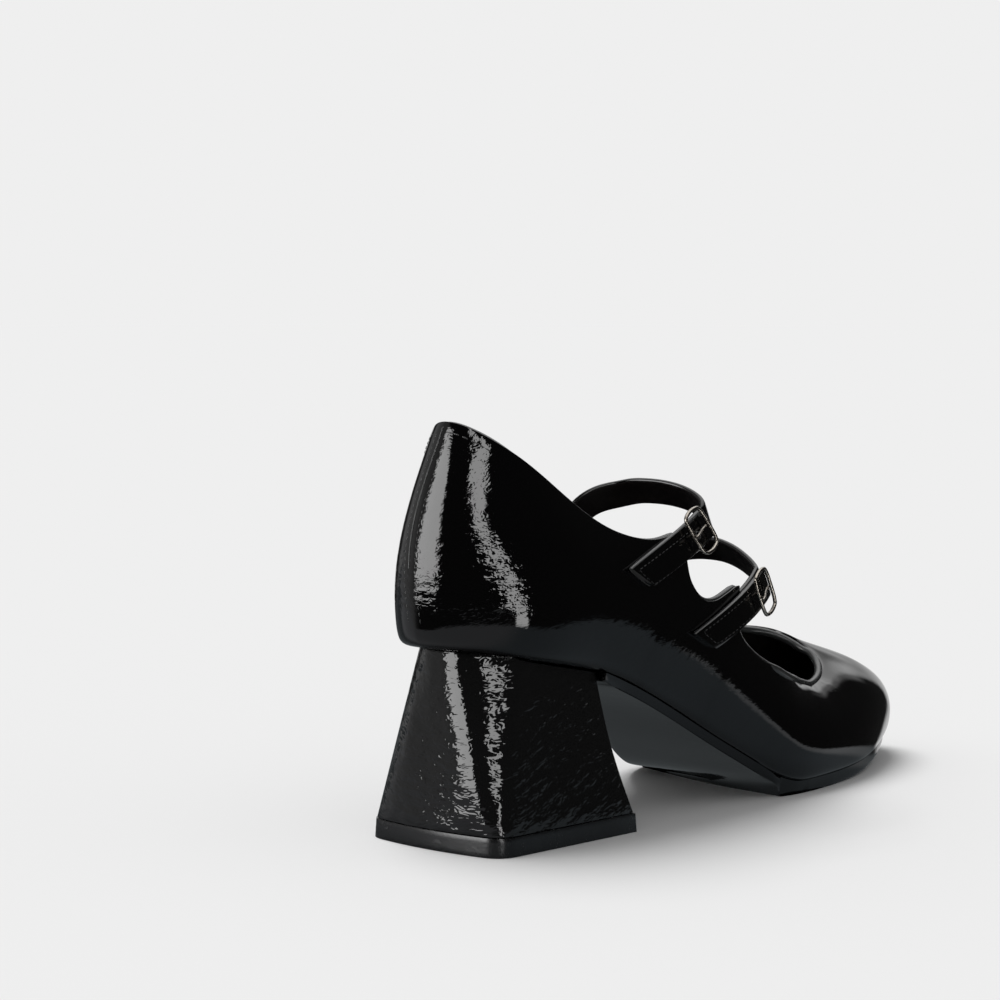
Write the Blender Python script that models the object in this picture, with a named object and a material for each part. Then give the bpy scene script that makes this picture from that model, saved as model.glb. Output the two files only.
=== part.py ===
"""Double-strap Mary Jane pump with a flared block heel, the right shoe of a pair.

The shoe is built from its last outwards. A closed ring of ribs, each a cubic curve from the feather
edge (where the upper turns under the foot) to the top edge, gives the outer face of the upper.
The wall, the straps and their stitched tabs all follow that one surface. Insole, outsole, heel
block and top lift follow the bottom profile of the same last.

World axes, in metres: the toe points to -Y, the outer (lateral, buckle) side is -X, +Z is up.
The tables below are in millimetres and use shoe coordinates: x across (lateral is negative),
a = distance forward of the back of the heel, z = height over the floor.
"""
import math
from collections import namedtuple
from functools import lru_cache

import bmesh
import bpy
import numpy as np
from mathutils import Matrix, Vector

NAME = "mary_jane_pump"
MM = 0.001

# ---------------------------------------------------------------- driving sizes, in millimetres
GAP = 0.3                 # clearance between neighbouring pieces
SOLE_GAP = 0.4            # clearance above and below the turned-in margin
LAY_GAP = 0.6             # clearance under the flat-backed tabs on the curved quarter
WALL = 1.7                # patent leather plus lining
MARGIN = 8.0              # strip of the upper turned in under the insole
TURN = 1.2                # roundness of that turn at the feather edge
INSOLE_THICKNESS = 2.2
INSOLE_INSET = 3.8        # insole edge in from the feather edge
INSOLE_BLUNT_BACK = 0.9   # the insole's two ends are cut square just short of their tips
INSOLE_BLUNT_TOE = 1.4
OUTSOLE_THICKNESS = 3.4   # under the ball
TOE_THICKNESS = 2.1       # at the tip of the toe
SHANK_THICKNESS = 2.6     # under the arch, behind the tread step
OUTSOLE_INSET = 0.8
OUTSOLE_START = 2.2       # how far forward of the heel's breast the outsole starts
OUTSOLE_BLUNT = 0.5
TREAD_STEP = 1.2          # run of the step between shank and tread
TREAD_START = 134.0       # step where the thicker forefoot tread begins
TREAD_LEVEL = 150.0       # the tread's ground face is dead level from its step to here
TREAD_THINNING = 165.0    # from here the outsole thins towards the toe
TREAD_LAG = 15.0          # how much further forward the step is at the medial edge
LAG_FADE = 40.0           # that slant fades out over this distance
BREAST = 50.0             # front face of the heel, at its top
HEEL_BACK_BOW = 2.6       # the heel's rear corners lie this far forward of its back
HEEL_BACK_TURN = 0.07     # slope of the back's bow where it meets the corners
LIFT_HEIGHT = 5.6
STRAP_WIDTH = 9.6
STRAP_THICKNESS = 2.0
STRAP_ROOT_STEP = 6.0     # straight run of a strap up the inside of the medial quarter
STRAP_ENTRY = 1.08        # share of the tab's line where the strap slips under the tab
TAB_WIDTH = 9.6
TAB_THICKNESS = 2.2
RIBBON_EDGE = 0.5         # chamfer along the edges of straps and tabs
WIRE = 0.75               # radius of the buckle frame's wire
PRONG = 0.55              # radius of the buckle's prong
BUCKLE_PLAY = 0.2         # extra room between the tab and the buckle's side bars
BUCKLE_BOW = 0.9          # how far the side bars bow outwards
BUCKLE_CORNER = 1.4
BUCKLE_LIFT = 0.35        # extra height of the frame over the tab
PRONG_LIFT = 0.3          # extra height of the prong's hinge end over the tab
PRONG_RISE = 0.6          # rise of the prong before it climbs over the near bar
PRONG_TIP = 0.9           # how far the tip runs on beyond the near bar

# Counts of sections, set by how tightly each piece curves.
COLUMN_STEP = 0.25        # in ribs, round the upper
FINE_STEP = 0.1           # in ribs, round the scallops
TAB_SECTIONS = 16
STRAP_SECTIONS = 44
SHARP_ANGLE = 35          # degrees; edges sharper than this are shaded hard

# Bottom of the last along the shoe: the seat slopes, the arch drops to a level ball, the toe springs.
Profile = namedtuple("Profile", "a z slope")
BOTTOM = (
    Profile(0.0, 58.8, -0.19),
    Profile(44.0, 50.4, -0.19),
    Profile(60.0, 45.2, -0.41),
    Profile(84.0, 33.9, -0.52),
    Profile(104.0, 23.0, -0.55),
    Profile(126.0, 11.2, -0.56),
    Profile(134.5, 6.5, -0.44),
    Profile(146.0, 3.8, 0.0),
    Profile(165.0, 3.8, 0.0),
    Profile(195.0, 5.2, 0.08),
    Profile(245.0, 10.0, 0.12),
)

# Ribs of the last, anticlockwise seen from above: back of the heel, lateral side, toe, medial side.
# foot_* is the feather edge. belly_* and crown_* are how far the curve's two handles stand out
# from the foot (and up) and from the top (and down). top_* is the upper end of the rib.
Rib = namedtuple("Rib", "foot_x foot_a belly_out belly_up crown_out crown_down top_x top_a top_z")
RIBS = (
    Rib(1.0, -2.4, 5.0, 22, 13.5, 26, 1.5, 9.8, 124.2),
    Rib(-13.5, 4.5, 7.0, 22, 13.0, 26, -7.5, 12.9, 121.8),
    Rib(-24.0, 22.0, 7.0, 21, 11.0, 22, -19.2, 22.3, 112.6),
    Rib(-25.5, 46.0, 8.5, 20, 8.0, 16, -26.0, 53.0, 91.8),
    Rib(-26.0, 68.0, 10.0, 18, 9.5, 14, -23.5, 90.0, 95.0),
    Rib(-26.5, 94.0, 10.5, 18, 7.5, 14, -24.0, 116.0, 85.0),
    Rib(-29.0, 121.0, 9.0, 15, 5.0, 18, -24.0, 129.0, 76.0),
    Rib(-32.0, 146.0, 7.0, 14, 9.0, 7, -21.0, 147.0, 43.0),
    Rib(-30.5, 168.0, 6.5, 14, 8.0, 3, -20.5, 160.5, 33.8),
    Rib(-26.5, 190.0, 6.0, 15, 9.0, 1, -16.5, 172.8, 33.0),
    Rib(-17.0, 213.0, 6.0, 16, 15.0, 2, -11.5, 182.8, 35.0),
    Rib(-6.5, 231.0, 6.5, 17, 21.0, 6.6, -5.0, 189.4, 38.6),
    Rib(7.0, 239.5, 7.0, 18, 30.0, 6.7, 3.0, 190.8, 43.2),
    Rib(20.0, 231.0, 6.5, 18, 22.0, 9, 10.0, 188.5, 46.2),
    Rib(29.0, 212.0, 6.0, 16, 14.0, 10, 15.5, 184.5, 47.6),
    Rib(35.5, 190.0, 6.0, 16, 11.0, 10, 20.0, 176.0, 48.8),
    Rib(40.5, 166.0, 7.0, 16, 10.0, 11, 23.5, 163.0, 52.5),
    Rib(39.0, 144.0, 9.0, 17, 10.0, 12, 28.0, 140.0, 62.0),
    Rib(28.0, 116.0, 13.0, 18, 8.0, 14, 30.0, 112.0, 73.5),
    Rib(23.0, 88.0, 13.0, 18, 8.0, 14, 31.0, 86.0, 81.0),
    Rib(24.0, 56.0, 9.0, 20, 7.0, 14, 30.0, 53.0, 90.0),
    Rib(24.0, 24.0, 5.0, 21, 7.0, 22, 20.5, 24.0, 112.0),
    Rib(15.0, 4.0, 4.0, 22, 9.0, 26, 9.8, 13.4, 121.6),
)

# Height of the lateral top edge where it is cut below the ribs' upper ends: two short tongues that
# carry the tabs, with a scallop between them. rib counts along RIBS, z is the edge's height.
Edge = namedtuple("Edge", "rib z")
SCALLOPS = (
    Edge(2.90, 93.0),
    Edge(3.05, 90.5),
    Edge(3.25, 88.6),
    Edge(3.45, 86.9),
    Edge(3.60, 87.8),
    Edge(3.80, 88.6),
    Edge(3.90, 88.4),
    Edge(4.00, 78.5),
    Edge(4.10, 74.2),
    Edge(4.20, 71.6),
    Edge(4.35, 68.3),
    Edge(4.50, 67.0),
    Edge(4.65, 67.2),
    Edge(4.75, 68.4),
    Edge(4.90, 69.6),
    Edge(5.05, 70.4),
    Edge(5.15, 58.5),
    Edge(5.25, 55.2),
    Edge(5.55, 50.0),
    Edge(5.85, 46.5),
    Edge(6.15, 43.6),
    Edge(6.40, 41.0),
    Edge(6.65, 38.9),
    Edge(7.00, 37.2),
    Edge(7.50, 35.4),
    Edge(8.00, 33.8),
)

# Tabs on the lateral side, as the middle line of each in side view, from the stitched square end to
# the end under the buckle's far bar. The stitched end is cut on a slant, its lower corner leading by
# slant; near_bar and far_bar are the shares of the line where the buckle's two bars cross, tuck the
# share where the strap's own end stops below the tab.
TabLine = namedtuple("TabLine", "a0 z0 a1 z1 slant near_bar far_bar tuck")
TABS = {
    "rear": TabLine(58.6, 76.4, 97.8, 89.4, 7.5, 0.67, 0.92, 0.78),
    "front": TabLine(89.2, 55.4, 127.2, 69.0, 8.5, 0.71, 0.95, 0.66),
}

# Straps over the instep, from inside the medial quarter to below the tab. lean is the downhill
# slope of the strap's width towards the toe, in degrees.
StrapPoint = namedtuple("StrapPoint", "x a z lean")
STRAPS = {
    "rear": (
        StrapPoint(20.0, 93.5, 92.2, 50),
        StrapPoint(10.0, 104.0, 98.1, 56),
        StrapPoint(0.0, 106.8, 98.9, 57),
        StrapPoint(-10.0, 107.8, 97.6, 58),
        StrapPoint(-18.0, 106.8, 95.0, 60),
        StrapPoint(-22.5, 103.8, 92.4, 66),
    ),
    "front": (
        StrapPoint(22.0, 130.0, 73.0, 40),
        StrapPoint(13.0, 138.0, 77.4, 46),
        StrapPoint(2.0, 140.5, 78.2, 56),
        StrapPoint(-8.0, 138.6, 76.6, 58),
        StrapPoint(-17.0, 135.6, 73.2, 60),
        StrapPoint(-22.5, 132.2, 70.4, 66),
    ),
}
STRAP_ROOTS = {"rear": (84.0, 62.0), "front": (122.0, 50.0)}   # a and z inside the medial quarter

# Heel block outline at four levels: half width at the back and at the breast, back and breast.
HeelLevel = namedtuple("HeelLevel", "share half_back half_front back front corner")
HEEL_LEVELS = (
    HeelLevel(0.00, 26.2, 29.2, 0.5, 59.5, 7.0),
    HeelLevel(0.30, 24.2, 26.4, 1.8, 56.0, 8.0),
    HeelLevel(0.60, 22.4, 24.2, 3.2, 52.8, 9.0),
    HeelLevel(1.00, 20.5, 22.0, 5.0, 50.0, 11.0),
)
LIFT_BOTTOM = HeelLevel(0.0, 26.6, 29.8, 0.0, 60.5, 7.0)


# ---------------------------------------------------------------- curves
def hermite(p0, p1, m0, m1, u):
    """Return the cubic Hermite value at u between p0 and p1 with end slopes m0 and m1."""
    u2, u3 = u * u, u * u * u
    return (2 * u3 - 3 * u2 + 1) * p0 + (u3 - 2 * u2 + u) * m0 + (3 * u2 - 2 * u3) * p1 + (u3 - u2) * m1


def bottom_height(a):
    """Return the height of the last's bottom at distance a from the heel."""
    a = min(max(a, BOTTOM[0].a), BOTTOM[-1].a)
    for low, high in zip(BOTTOM, BOTTOM[1:]):
        if a <= high.a:
            span = high.a - low.a
            return hermite(low.z, high.z, low.slope * span, high.slope * span, (a - low.a) / span)
    return BOTTOM[-1].z


def bottom_offset(a, distance):
    """Return (a, z) of the last's bottom moved by distance along its upward normal."""
    slope = bottom_height(a + 0.5) - bottom_height(a - 0.5)
    length = math.hypot(1.0, slope)
    return a - distance * slope / length, bottom_height(a) + distance / length


def loop_spline(values, t):
    """Return a closed Catmull-Rom spline through the rows of values, at row position t."""
    count = len(values)
    i = int(math.floor(t)) % count
    u = t - math.floor(t)
    before, here, after, beyond = (values[(i + k) % count] for k in (-1, 0, 1, 2))
    return hermite(here, after, (after - before) / 2, (beyond - here) / 2, u)


def open_spline(points, samples):
    """Return samples points on a Catmull-Rom spline through points, at even steps of length."""
    points = [np.array(p, float) for p in points]
    points = [2 * points[0] - points[1]] + points + [2 * points[-1] - points[-2]]
    fine = []
    for i in range(1, len(points) - 2):
        before, here, after, beyond = points[i - 1:i + 3]
        for k in range(12):
            fine.append(hermite(here, after, (after - before) / 2, (beyond - here) / 2, k / 12))
    fine.append(points[-2])
    fine = np.array(fine)
    steps = np.linalg.norm(np.diff(fine[:, :3], axis=0), axis=1)
    length = np.concatenate([[0.0], np.cumsum(steps)])
    where = np.linspace(0.0, length[-1], samples)
    return np.array([[np.interp(w, length, fine[:, c]) for c in range(fine.shape[1])] for w in where])


def table_value(rows, key, x):
    """Return the piecewise cubic value of rows' second column at key x (first column)."""
    keys = [getattr(r, key) for r in rows]
    values = [r[1] for r in rows]
    slopes = []
    for i in range(len(rows)):
        lo, hi = max(i - 1, 0), min(i + 1, len(rows) - 1)
        slopes.append((values[hi] - values[lo]) / (keys[hi] - keys[lo]))
    i = min(max(int(np.searchsorted(keys, x)) - 1, 0), len(rows) - 2)
    span = keys[i + 1] - keys[i]
    return hermite(values[i], values[i + 1], slopes[i] * span, slopes[i + 1] * span, (x - keys[i]) / span)


def to_world(point):
    """Turn shoe coordinates (x, a, z) in millimetres into a world Vector in metres."""
    return Vector((point[0] * MM, -point[1] * MM, point[2] * MM))


# ---------------------------------------------------------------- the last's surface
class Last:
    """The outer surface of the upper: point(t, s) with t round the shoe and s up each rib."""

    def __init__(self):
        self.table = np.array(RIBS, float)
        self.count = len(RIBS)

    @lru_cache(maxsize=None)
    def foot(self, t):
        """Return the feather edge at t as (x, a, z)."""
        row = loop_spline(self.table, t)
        return np.array([row[0], row[1], bottom_height(row[1])])

    @lru_cache(maxsize=None)
    def outward(self, t):
        """Return the feather edge's outward normal in plan, as (x, a, 0)."""
        ahead, behind = self.foot(t + 0.02), self.foot(t - 0.02)
        along = ahead - behind
        normal = np.array([-along[1], along[0], 0.0])
        return normal / np.linalg.norm(normal)

    @lru_cache(maxsize=None)
    def handles(self, t):
        """Return the four control points of the rib at t."""
        row = loop_spline(self.table, t)
        foot, out = self.foot(t), self.outward(t)
        top = row[6:9]
        belly = foot + out * row[2] + np.array([0, 0, row[3]])
        crown = top + out * row[4] - np.array([0, 0, row[5]])
        return foot, belly, crown, top

    def point(self, t, s):
        """Return the surface point at rib t and share s of the rib."""
        foot, belly, crown, top = self.handles(t)
        r = 1 - s
        return r**3 * foot + 3 * r * r * s * belly + 3 * r * s * s * crown + s**3 * top

    def normal(self, t, s):
        """Return the outward unit normal at (t, s)."""
        step = 0.01
        low, high = max(s - step, 0.0), min(s + step, 1.0)
        up = self.point(t, high) - self.point(t, low)
        along = self.point(t + step, s) - self.point(t - step, s)
        normal = np.cross(up, along)
        normal = normal / np.linalg.norm(normal)
        return normal if normal @ self.outward(t) > -0.2 else -normal

    def share_at_height(self, t, z):
        """Return the share of rib t where it reaches height z."""
        low, high = 0.1, 1.0
        for _ in range(30):
            middle = (low + high) / 2
            if self.point(t, middle)[2] < z:
                low = middle
            else:
                high = middle
        return (low + high) / 2

    def top_share(self, t):
        """Return the share of rib t at which the upper's edge is cut."""
        t = t % self.count
        if not SCALLOPS[0].rib < t < SCALLOPS[-1].rib:
            return 1.0
        return self.share_at_height(t, table_value(SCALLOPS, "rib", t))

    def locate(self, a, z, lateral=True):
        """Return (t, s) of the surface point on one side with the given a and z."""
        low, high = (1.5, 8.0) if lateral else (self.count - 1.5, 15.0)
        for _ in range(30):
            t = (low + high) / 2
            s = self.share_at_height(t, z)
            if self.point(t, s)[1] < a:
                low = t
            else:
                high = t
        return t, s

    def at(self, a, z, offset=0.0, lateral=True):
        """Return the point over the surface at (a, z), moved out by offset, and its normal."""
        t, s = self.locate(a, z, lateral)
        normal = self.normal(t, s)
        return self.point(t, s) + normal * offset, normal


LAST = Last()
FEATHER_START = min(rib.foot_a for rib in RIBS)
FEATHER_END = max(rib.foot_a for rib in RIBS)
SEAT_MIDDLE = 40.0


def outline_half(a, lateral, inset=0.0):
    """Return x of the feather edge at distance a, on one side, drawn in by inset."""
    side = OUTLINE_LATERAL if lateral else OUTLINE_MEDIAL
    x = float(np.interp(a, side[:, 1], side[:, 0]))
    return x + inset if lateral else x - inset


def sampled_outline():
    """Return the lateral and medial halves of the feather edge as dense (x, a) rows."""
    toe = max(range(LAST.count), key=lambda i: RIBS[i].foot_a)
    lateral = np.array([LAST.foot(t)[:2] for t in np.linspace(0, toe, 240)])
    medial = np.array([LAST.foot(t)[:2] for t in np.linspace(LAST.count, toe, 240)])
    return lateral, medial


OUTLINE_LATERAL, OUTLINE_MEDIAL = sampled_outline()


# ---------------------------------------------------------------- meshes
def new_object(name, bm, material, collection):
    """Make an object from bm with one material, shaded smooth but for its sharp edges."""
    bmesh.ops.recalc_face_normals(bm, faces=bm.faces)
    mesh = bpy.data.meshes.new(name)
    bm.to_mesh(mesh)
    bm.free()
    mesh.shade_smooth()
    mesh.set_sharp_from_angle(angle=math.radians(SHARP_ANGLE))
    mesh.materials.append(material)
    obj = bpy.data.objects.new(name, mesh)
    collection.objects.link(obj)
    return obj


def loft(rings, closed=False):
    """Return a bmesh skinned through equal closed rings, capped at both ends or closed on itself."""
    bm = bmesh.new()
    loops = [[bm.verts.new(to_world(p)) for p in ring] for ring in rings]
    pairs = list(zip(loops, loops[1:]))
    if closed:
        pairs.append((loops[-1], loops[0]))
    for low, high in pairs:
        for i in range(len(low)):
            j = (i + 1) % len(low)
            bm.faces.new((low[i], low[j], high[j], high[i]))
    if not closed:
        bm.faces.new(loops[0])
        bm.faces.new(loops[-1])
    return bm


def ribbon_rings(frames, width, thickness):
    """Return the cross sections of a ribbon; frames are (centre of its outer face, across, normal)."""
    half, edge = width / 2, RIBBON_EDGE
    rings = []
    for centre, across, normal in frames:
        ring = []
        for x, depth in ((-half, edge), (-half + edge, 0), (0, 0), (half - edge, 0), (half, edge),
                         (half, thickness - edge), (half - edge, thickness), (0, thickness),
                         (-half + edge, thickness), (-half, thickness - edge)):
            ring.append(centre + across * x - normal * depth)
        rings.append(ring)
    return rings


def surface_frames(line, offset, width, steps, start=0.0, end=1.0):
    """Return ribbon frames that lie at offset over the last along a tab's middle line."""
    frames = []
    for i in range(steps + 1):
        u = start + (end - start) * i / steps
        points = []
        for v in (u - 0.01, u, u + 0.01):
            a = line.a0 + (line.a1 - line.a0) * v
            z = line.z0 + (line.z1 - line.z0) * v
            points.append(LAST.at(a, z, offset))
        along = points[2][0] - points[0][0]
        normal = points[1][1]
        across = np.cross(normal, along)
        across /= np.linalg.norm(across)
        centre = points[1][0]
        edges = []
        for sign in (-1, 1):
            edge = centre + across * sign * width / 2
            edges.append(LAST.at(edge[1], edge[2], offset)[0])
        across = edges[1] - edges[0]
        across /= np.linalg.norm(across)
        centre = (edges[0] + edges[1] + centre) / 3
        normal = np.cross(along, across)
        normal /= np.linalg.norm(normal)
        if normal @ points[1][1] < 0:
            normal = -normal
        frames.append((centre, across, normal))
    return frames


# ---------------------------------------------------------------- pieces
def upper_columns():
    """Return the rib positions of the upper's mesh: closer together round the scallops."""
    columns = []
    t = 0.0
    while t < LAST.count - 1e-6:
        columns.append(t)
        t += FINE_STEP if 3.6 <= t < 5.35 else COLUMN_STEP
    return columns


def upper_section(t):
    """Return the closed wall section on rib t: margin, outer face up, inner face down."""
    top = LAST.top_share(t)
    shares = [top * s for s in (0.04, 0.12, 0.24, 0.38, 0.53, 0.69, 0.85, 1.0)]
    foot, out = LAST.foot(t), LAST.outward(t)
    outer, inner = [], []
    for inward in (MARGIN, TURN):
        spot = foot - out * inward
        outer.append(np.array([spot[0], spot[1], bottom_height(spot[1])]))
        reach = max(inward, WALL + TURN)
        spot = foot - out * reach
        lifted = bottom_offset(spot[1], WALL)
        inner.append(np.array([spot[0], lifted[0], lifted[1]]))
    for share in shares:
        point, normal = LAST.point(t, share), LAST.normal(t, share)
        outer.append(point)
        inner.append(point - normal * WALL)
    lowest = inner[2]         # at the feather edge the inner face must stay over the margin
    lowest[2] = max(lowest[2], bottom_offset(lowest[1], WALL + RIBBON_EDGE)[1])
    return outer + inner[::-1]


def make_upper(material, collection):
    """The upper: one wall from the turned-in margin to the top edge, open above and below."""
    rings = [upper_section(t) for t in upper_columns()]
    return new_object("upper", loft(rings, closed=True), material, collection)


def plate_section(a, low, high, inset, lag=0.0, level=False):
    """Return a sole plate's section at a, between two offsets from the last's bottom.

    lag moves the lower face forward towards the medial edge; level drops it to the ground.
    """
    edge = min(0.6, (high - low) / 3)
    ring = []
    for share, drawn_in, offset in ((0.0, edge, low), (0.5, 0, low), (1.0, edge, low),
                                    (1.0, 0, low + edge), (1.0, 0, high - edge), (1.0, edge, high),
                                    (0.5, 0, high), (0.0, edge, high), (0.0, 0, high - edge),
                                    (0.0, 0, low + edge)):
        at = a + lag * share**2 if offset <= low + edge else a
        left, right = outline_half(at, True, inset), outline_half(at, False, inset)
        x = left + (right - left) * share + drawn_in * (1 - 2 * share)
        forward, height = bottom_offset(at, offset)
        if level and offset <= low + edge:
            height = offset - low
            forward = at
        ring.append(np.array([x, forward, height]))
    return ring


def toe_stations(start, end, steps):
    """Return positions from start to end that crowd together towards the end."""
    return [start + (end - start) * math.sin(math.pi / 2 * i / steps) for i in range(steps + 1)]


def make_insole(material, collection):
    """The insole: a thin board on the turned-in margin, from heel seat to toe."""
    low, high = WALL + SOLE_GAP, WALL + SOLE_GAP + INSOLE_THICKNESS
    back = toe_stations(SEAT_MIDDLE, FEATHER_START + INSOLE_INSET + INSOLE_BLUNT_BACK, 12)
    front = toe_stations(SEAT_MIDDLE, FEATHER_END - INSOLE_INSET - INSOLE_BLUNT_TOE, 28)
    rings = [plate_section(a, low, high, INSOLE_INSET) for a in back[::-1] + front[1:]]
    return new_object("insole", loft(rings), material, collection)


def make_outsole(material, collection):
    """The outsole: thin under the arch, a step to the thicker tread, level ball and sprung toe."""
    stations = toe_stations(BREAST + OUTSOLE_START, FEATHER_END - OUTSOLE_INSET - OUTSOLE_BLUNT, 34)
    stations = sorted(stations + [TREAD_START, TREAD_START + TREAD_STEP, TREAD_LEVEL - 10.0,
                                  TREAD_LEVEL - 5.0, TREAD_LEVEL, TREAD_THINNING])
    rings = []
    for a in stations:
        tread = a > TREAD_START
        thinning = max(0.0, a - TREAD_THINNING) / (FEATHER_END - TREAD_THINNING)
        under_tread = OUTSOLE_THICKNESS + (TOE_THICKNESS - OUTSOLE_THICKNESS) * thinning
        thick = under_tread if tread else SHANK_THICKNESS
        lag = TREAD_LAG * max(0.0, 1.0 - abs(a - TREAD_START) / LAG_FADE)
        level = tread and a <= TREAD_LEVEL
        rings.append(plate_section(a, -SOLE_GAP - thick, -SOLE_GAP, OUTSOLE_INSET, lag, level))
    return new_object("outsole", loft(rings), material, collection)


def heel_outline(level, steps=7):
    """Return the (x, a) outline of the heel at one level, anticlockwise from the lateral breast."""
    half = [(-level.half_front, level.front)]
    corner = np.array([-level.half_back, level.back + HEEL_BACK_BOW])
    side = np.array([-level.half_front, level.front]) - corner
    side /= np.linalg.norm(side)
    back = np.array([1.0, -2 * HEEL_BACK_TURN])
    back /= np.linalg.norm(back)
    start, end = corner + side * level.corner, corner + back * level.corner
    for i in range(steps + 1):
        u = i / steps
        half.append(tuple((1 - u)**2 * start + 2 * u * (1 - u) * corner + u * u * end))
    for i in range(1, 5):
        x = end[0] * (1 - i / 4)
        half.append((x, level.back + (end[1] - level.back) * (x / end[0])**2))
    other = [(-x, a) for x, a in half[:-1]]
    return half + other[::-1]


def make_heel_block(material, collection):
    """The heel block: wrapped in the upper's leather, flaring to its foot, top cut to the seat."""
    foot = LIFT_HEIGHT + GAP
    rings = []
    for level in HEEL_LEVELS:
        ring = []
        for x, a in heel_outline(level):
            top = bottom_height(a) - GAP
            ring.append(np.array([x, a, foot + (top - foot) * level.share]))
        rings.append(ring)
    return new_object("heel_block", loft(rings), material, collection)


def make_top_lift(material, collection):
    """The top lift: a hard-wearing slab a little larger than the heel block's foot."""
    top = HEEL_LEVELS[0]._replace(half_back=26.4, half_front=29.5, back=0.3, front=60.2)
    rings = [[np.array([x, a, 0.0]) for x, a in heel_outline(LIFT_BOTTOM)],
             [np.array([x, a, LIFT_HEIGHT]) for x, a in heel_outline(top)]]
    return new_object("top_lift", loft(rings), material, collection)


def make_tab(which, material, collection):
    """A stitched tab: lies on the lateral quarter and runs up under its buckle."""
    line = TABS[which]
    frames = surface_frames(line, LAY_GAP + TAB_THICKNESS, TAB_WIDTH, TAB_SECTIONS)
    slanted = []
    for i, (centre, across, normal) in enumerate(frames):
        along = frames[min(i + 1, TAB_SECTIONS)][0] - frames[max(i - 1, 0)][0]
        along /= np.linalg.norm(along)
        lead = line.slant / TAB_WIDTH * max(0.0, 1.0 - i / TAB_SECTIONS / line.near_bar)
        slanted.append((centre, across + along * lead, normal))
    rings = ribbon_rings(slanted, TAB_WIDTH, TAB_THICKNESS)
    return new_object("tab_" + which, loft(rings), material, collection)


def make_strap(which, material, collection):
    """A strap: from inside the medial quarter, over the instep, to its end below the tab."""
    line = TABS[which]
    root_a, root_z = STRAP_ROOTS[which]
    rows = []
    for z in (root_z, root_z + STRAP_ROOT_STEP):
        behind, centre, ahead = (
            LAST.at(root_a + side * STRAP_WIDTH / 2, z, -(WALL + LAY_GAP + STRAP_THICKNESS), False)[0]
            for side in (-1, 0, 1))
        rows.append((*centre, *((ahead - behind) / np.linalg.norm(ahead - behind))))
    for point in STRAPS[which]:
        lean = math.radians(point.lean)
        rows.append((point.x, point.a, point.z, 0.0, math.cos(lean), -math.sin(lean)))
    below = surface_frames(line, -STRAP_THICKNESS / 2, TAB_WIDTH, 4, STRAP_ENTRY, line.tuck)
    for centre, across, _ in below:
        rows.append((*centre, *across))
    path = open_spline(rows, STRAP_SECTIONS)
    frames = []
    for i, row in enumerate(path):
        along = path[min(i + 1, len(path) - 1)][:3] - path[max(i - 1, 0)][:3]
        along /= np.linalg.norm(along)
        across = row[3:6] - along * (row[3:6] @ along)
        across /= np.linalg.norm(across)
        normal = np.cross(across, along)
        frames.append((row[:3] + normal * STRAP_THICKNESS / 2, across, normal))
    rings = ribbon_rings(frames, STRAP_WIDTH, STRAP_THICKNESS)
    return new_object("strap_" + which, loft(rings), material, collection)


def wire(name, points, radius, cyclic, material, collection):
    """Return a round wire through points, as a mesh with welded ends."""
    curve = bpy.data.curves.new(name, "CURVE")
    curve.dimensions = "3D"
    curve.bevel_depth = radius * MM
    curve.bevel_resolution = 1
    curve.use_fill_caps = not cyclic
    spline = curve.splines.new("POLY")
    spline.points.add(len(points) - 1)
    for slot, point in zip(spline.points, points):
        slot.co = (*to_world(point), 1.0)
    spline.use_cyclic_u = cyclic
    guide = bpy.data.objects.new(name + "_guide", curve)
    collection.objects.link(guide)
    bpy.context.view_layer.update()
    shape = bpy.data.meshes.new_from_object(guide.evaluated_get(bpy.context.evaluated_depsgraph_get()))
    bpy.data.objects.remove(guide)
    bm = bmesh.new()
    bm.from_mesh(shape)
    bmesh.ops.remove_doubles(bm, verts=bm.verts, dist=1e-6)
    bpy.data.meshes.remove(shape)
    return new_object(name, bm, material, collection)


def buckle_frame(which):
    """Return the buckle's centre, its axes (along, across, normal) and its half length."""
    line = TABS[which]
    near, far = surface_frames(line, LAY_GAP + TAB_THICKNESS, TAB_WIDTH, 1, line.near_bar, line.far_bar)
    along = far[0] - near[0]
    half_length = np.linalg.norm(along) / 2
    along /= np.linalg.norm(along)
    across = near[1] + far[1]
    across -= along * (across @ along)
    across /= np.linalg.norm(across)
    normal = near[2] + far[2]
    normal -= along * (normal @ along) + across * (normal @ across)
    normal /= np.linalg.norm(normal)
    return (near[0] + far[0]) / 2, along, across, normal, half_length


def make_buckle(which, material, collection):
    """The buckle's frame: a rounded wire rectangle whose side bars bow outwards."""
    centre, along, across, normal, half = buckle_frame(which)
    side = TAB_WIDTH / 2 + GAP + WIRE + BUCKLE_PLAY
    level = GAP + WIRE + BUCKLE_LIFT
    points = []
    for end in (1, -1):
        for v in (-0.75, -0.25, 0.25, 0.75):
            points.append((end * half, v * end * (side - BUCKLE_CORNER)))
        for u in (1.0, 0.75, 0.35, 0.0, -0.35, -0.75, -1.0):
            bulge = BUCKLE_BOW * (1 - u * u)
            points.append((end * u * (half - BUCKLE_CORNER * 0.4), end * (side + bulge)))
    path = [centre + along * u + across * v + normal * level for u, v in points]
    return wire("buckle_" + which, path, WIRE, True, material, collection)


def make_prong(which, material, collection):
    """The prong: from beside the far bar, over the tab, its tip resting over the near bar."""
    centre, along, _, normal, half = buckle_frame(which)
    low = GAP + PRONG + PRONG_LIFT
    high = GAP + 2 * WIRE + BUCKLE_LIFT + GAP + PRONG
    shape = ((half - WIRE - GAP - PRONG, low), (half * 0.4, low), (-half * 0.3, low + PRONG_RISE),
             (-half + PRONG, high), (-half - WIRE - PRONG_TIP, high))
    path = [centre + along * u + normal * h for u, h in shape]
    return wire("prong_" + which, path, PRONG, False, material, collection)


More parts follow.
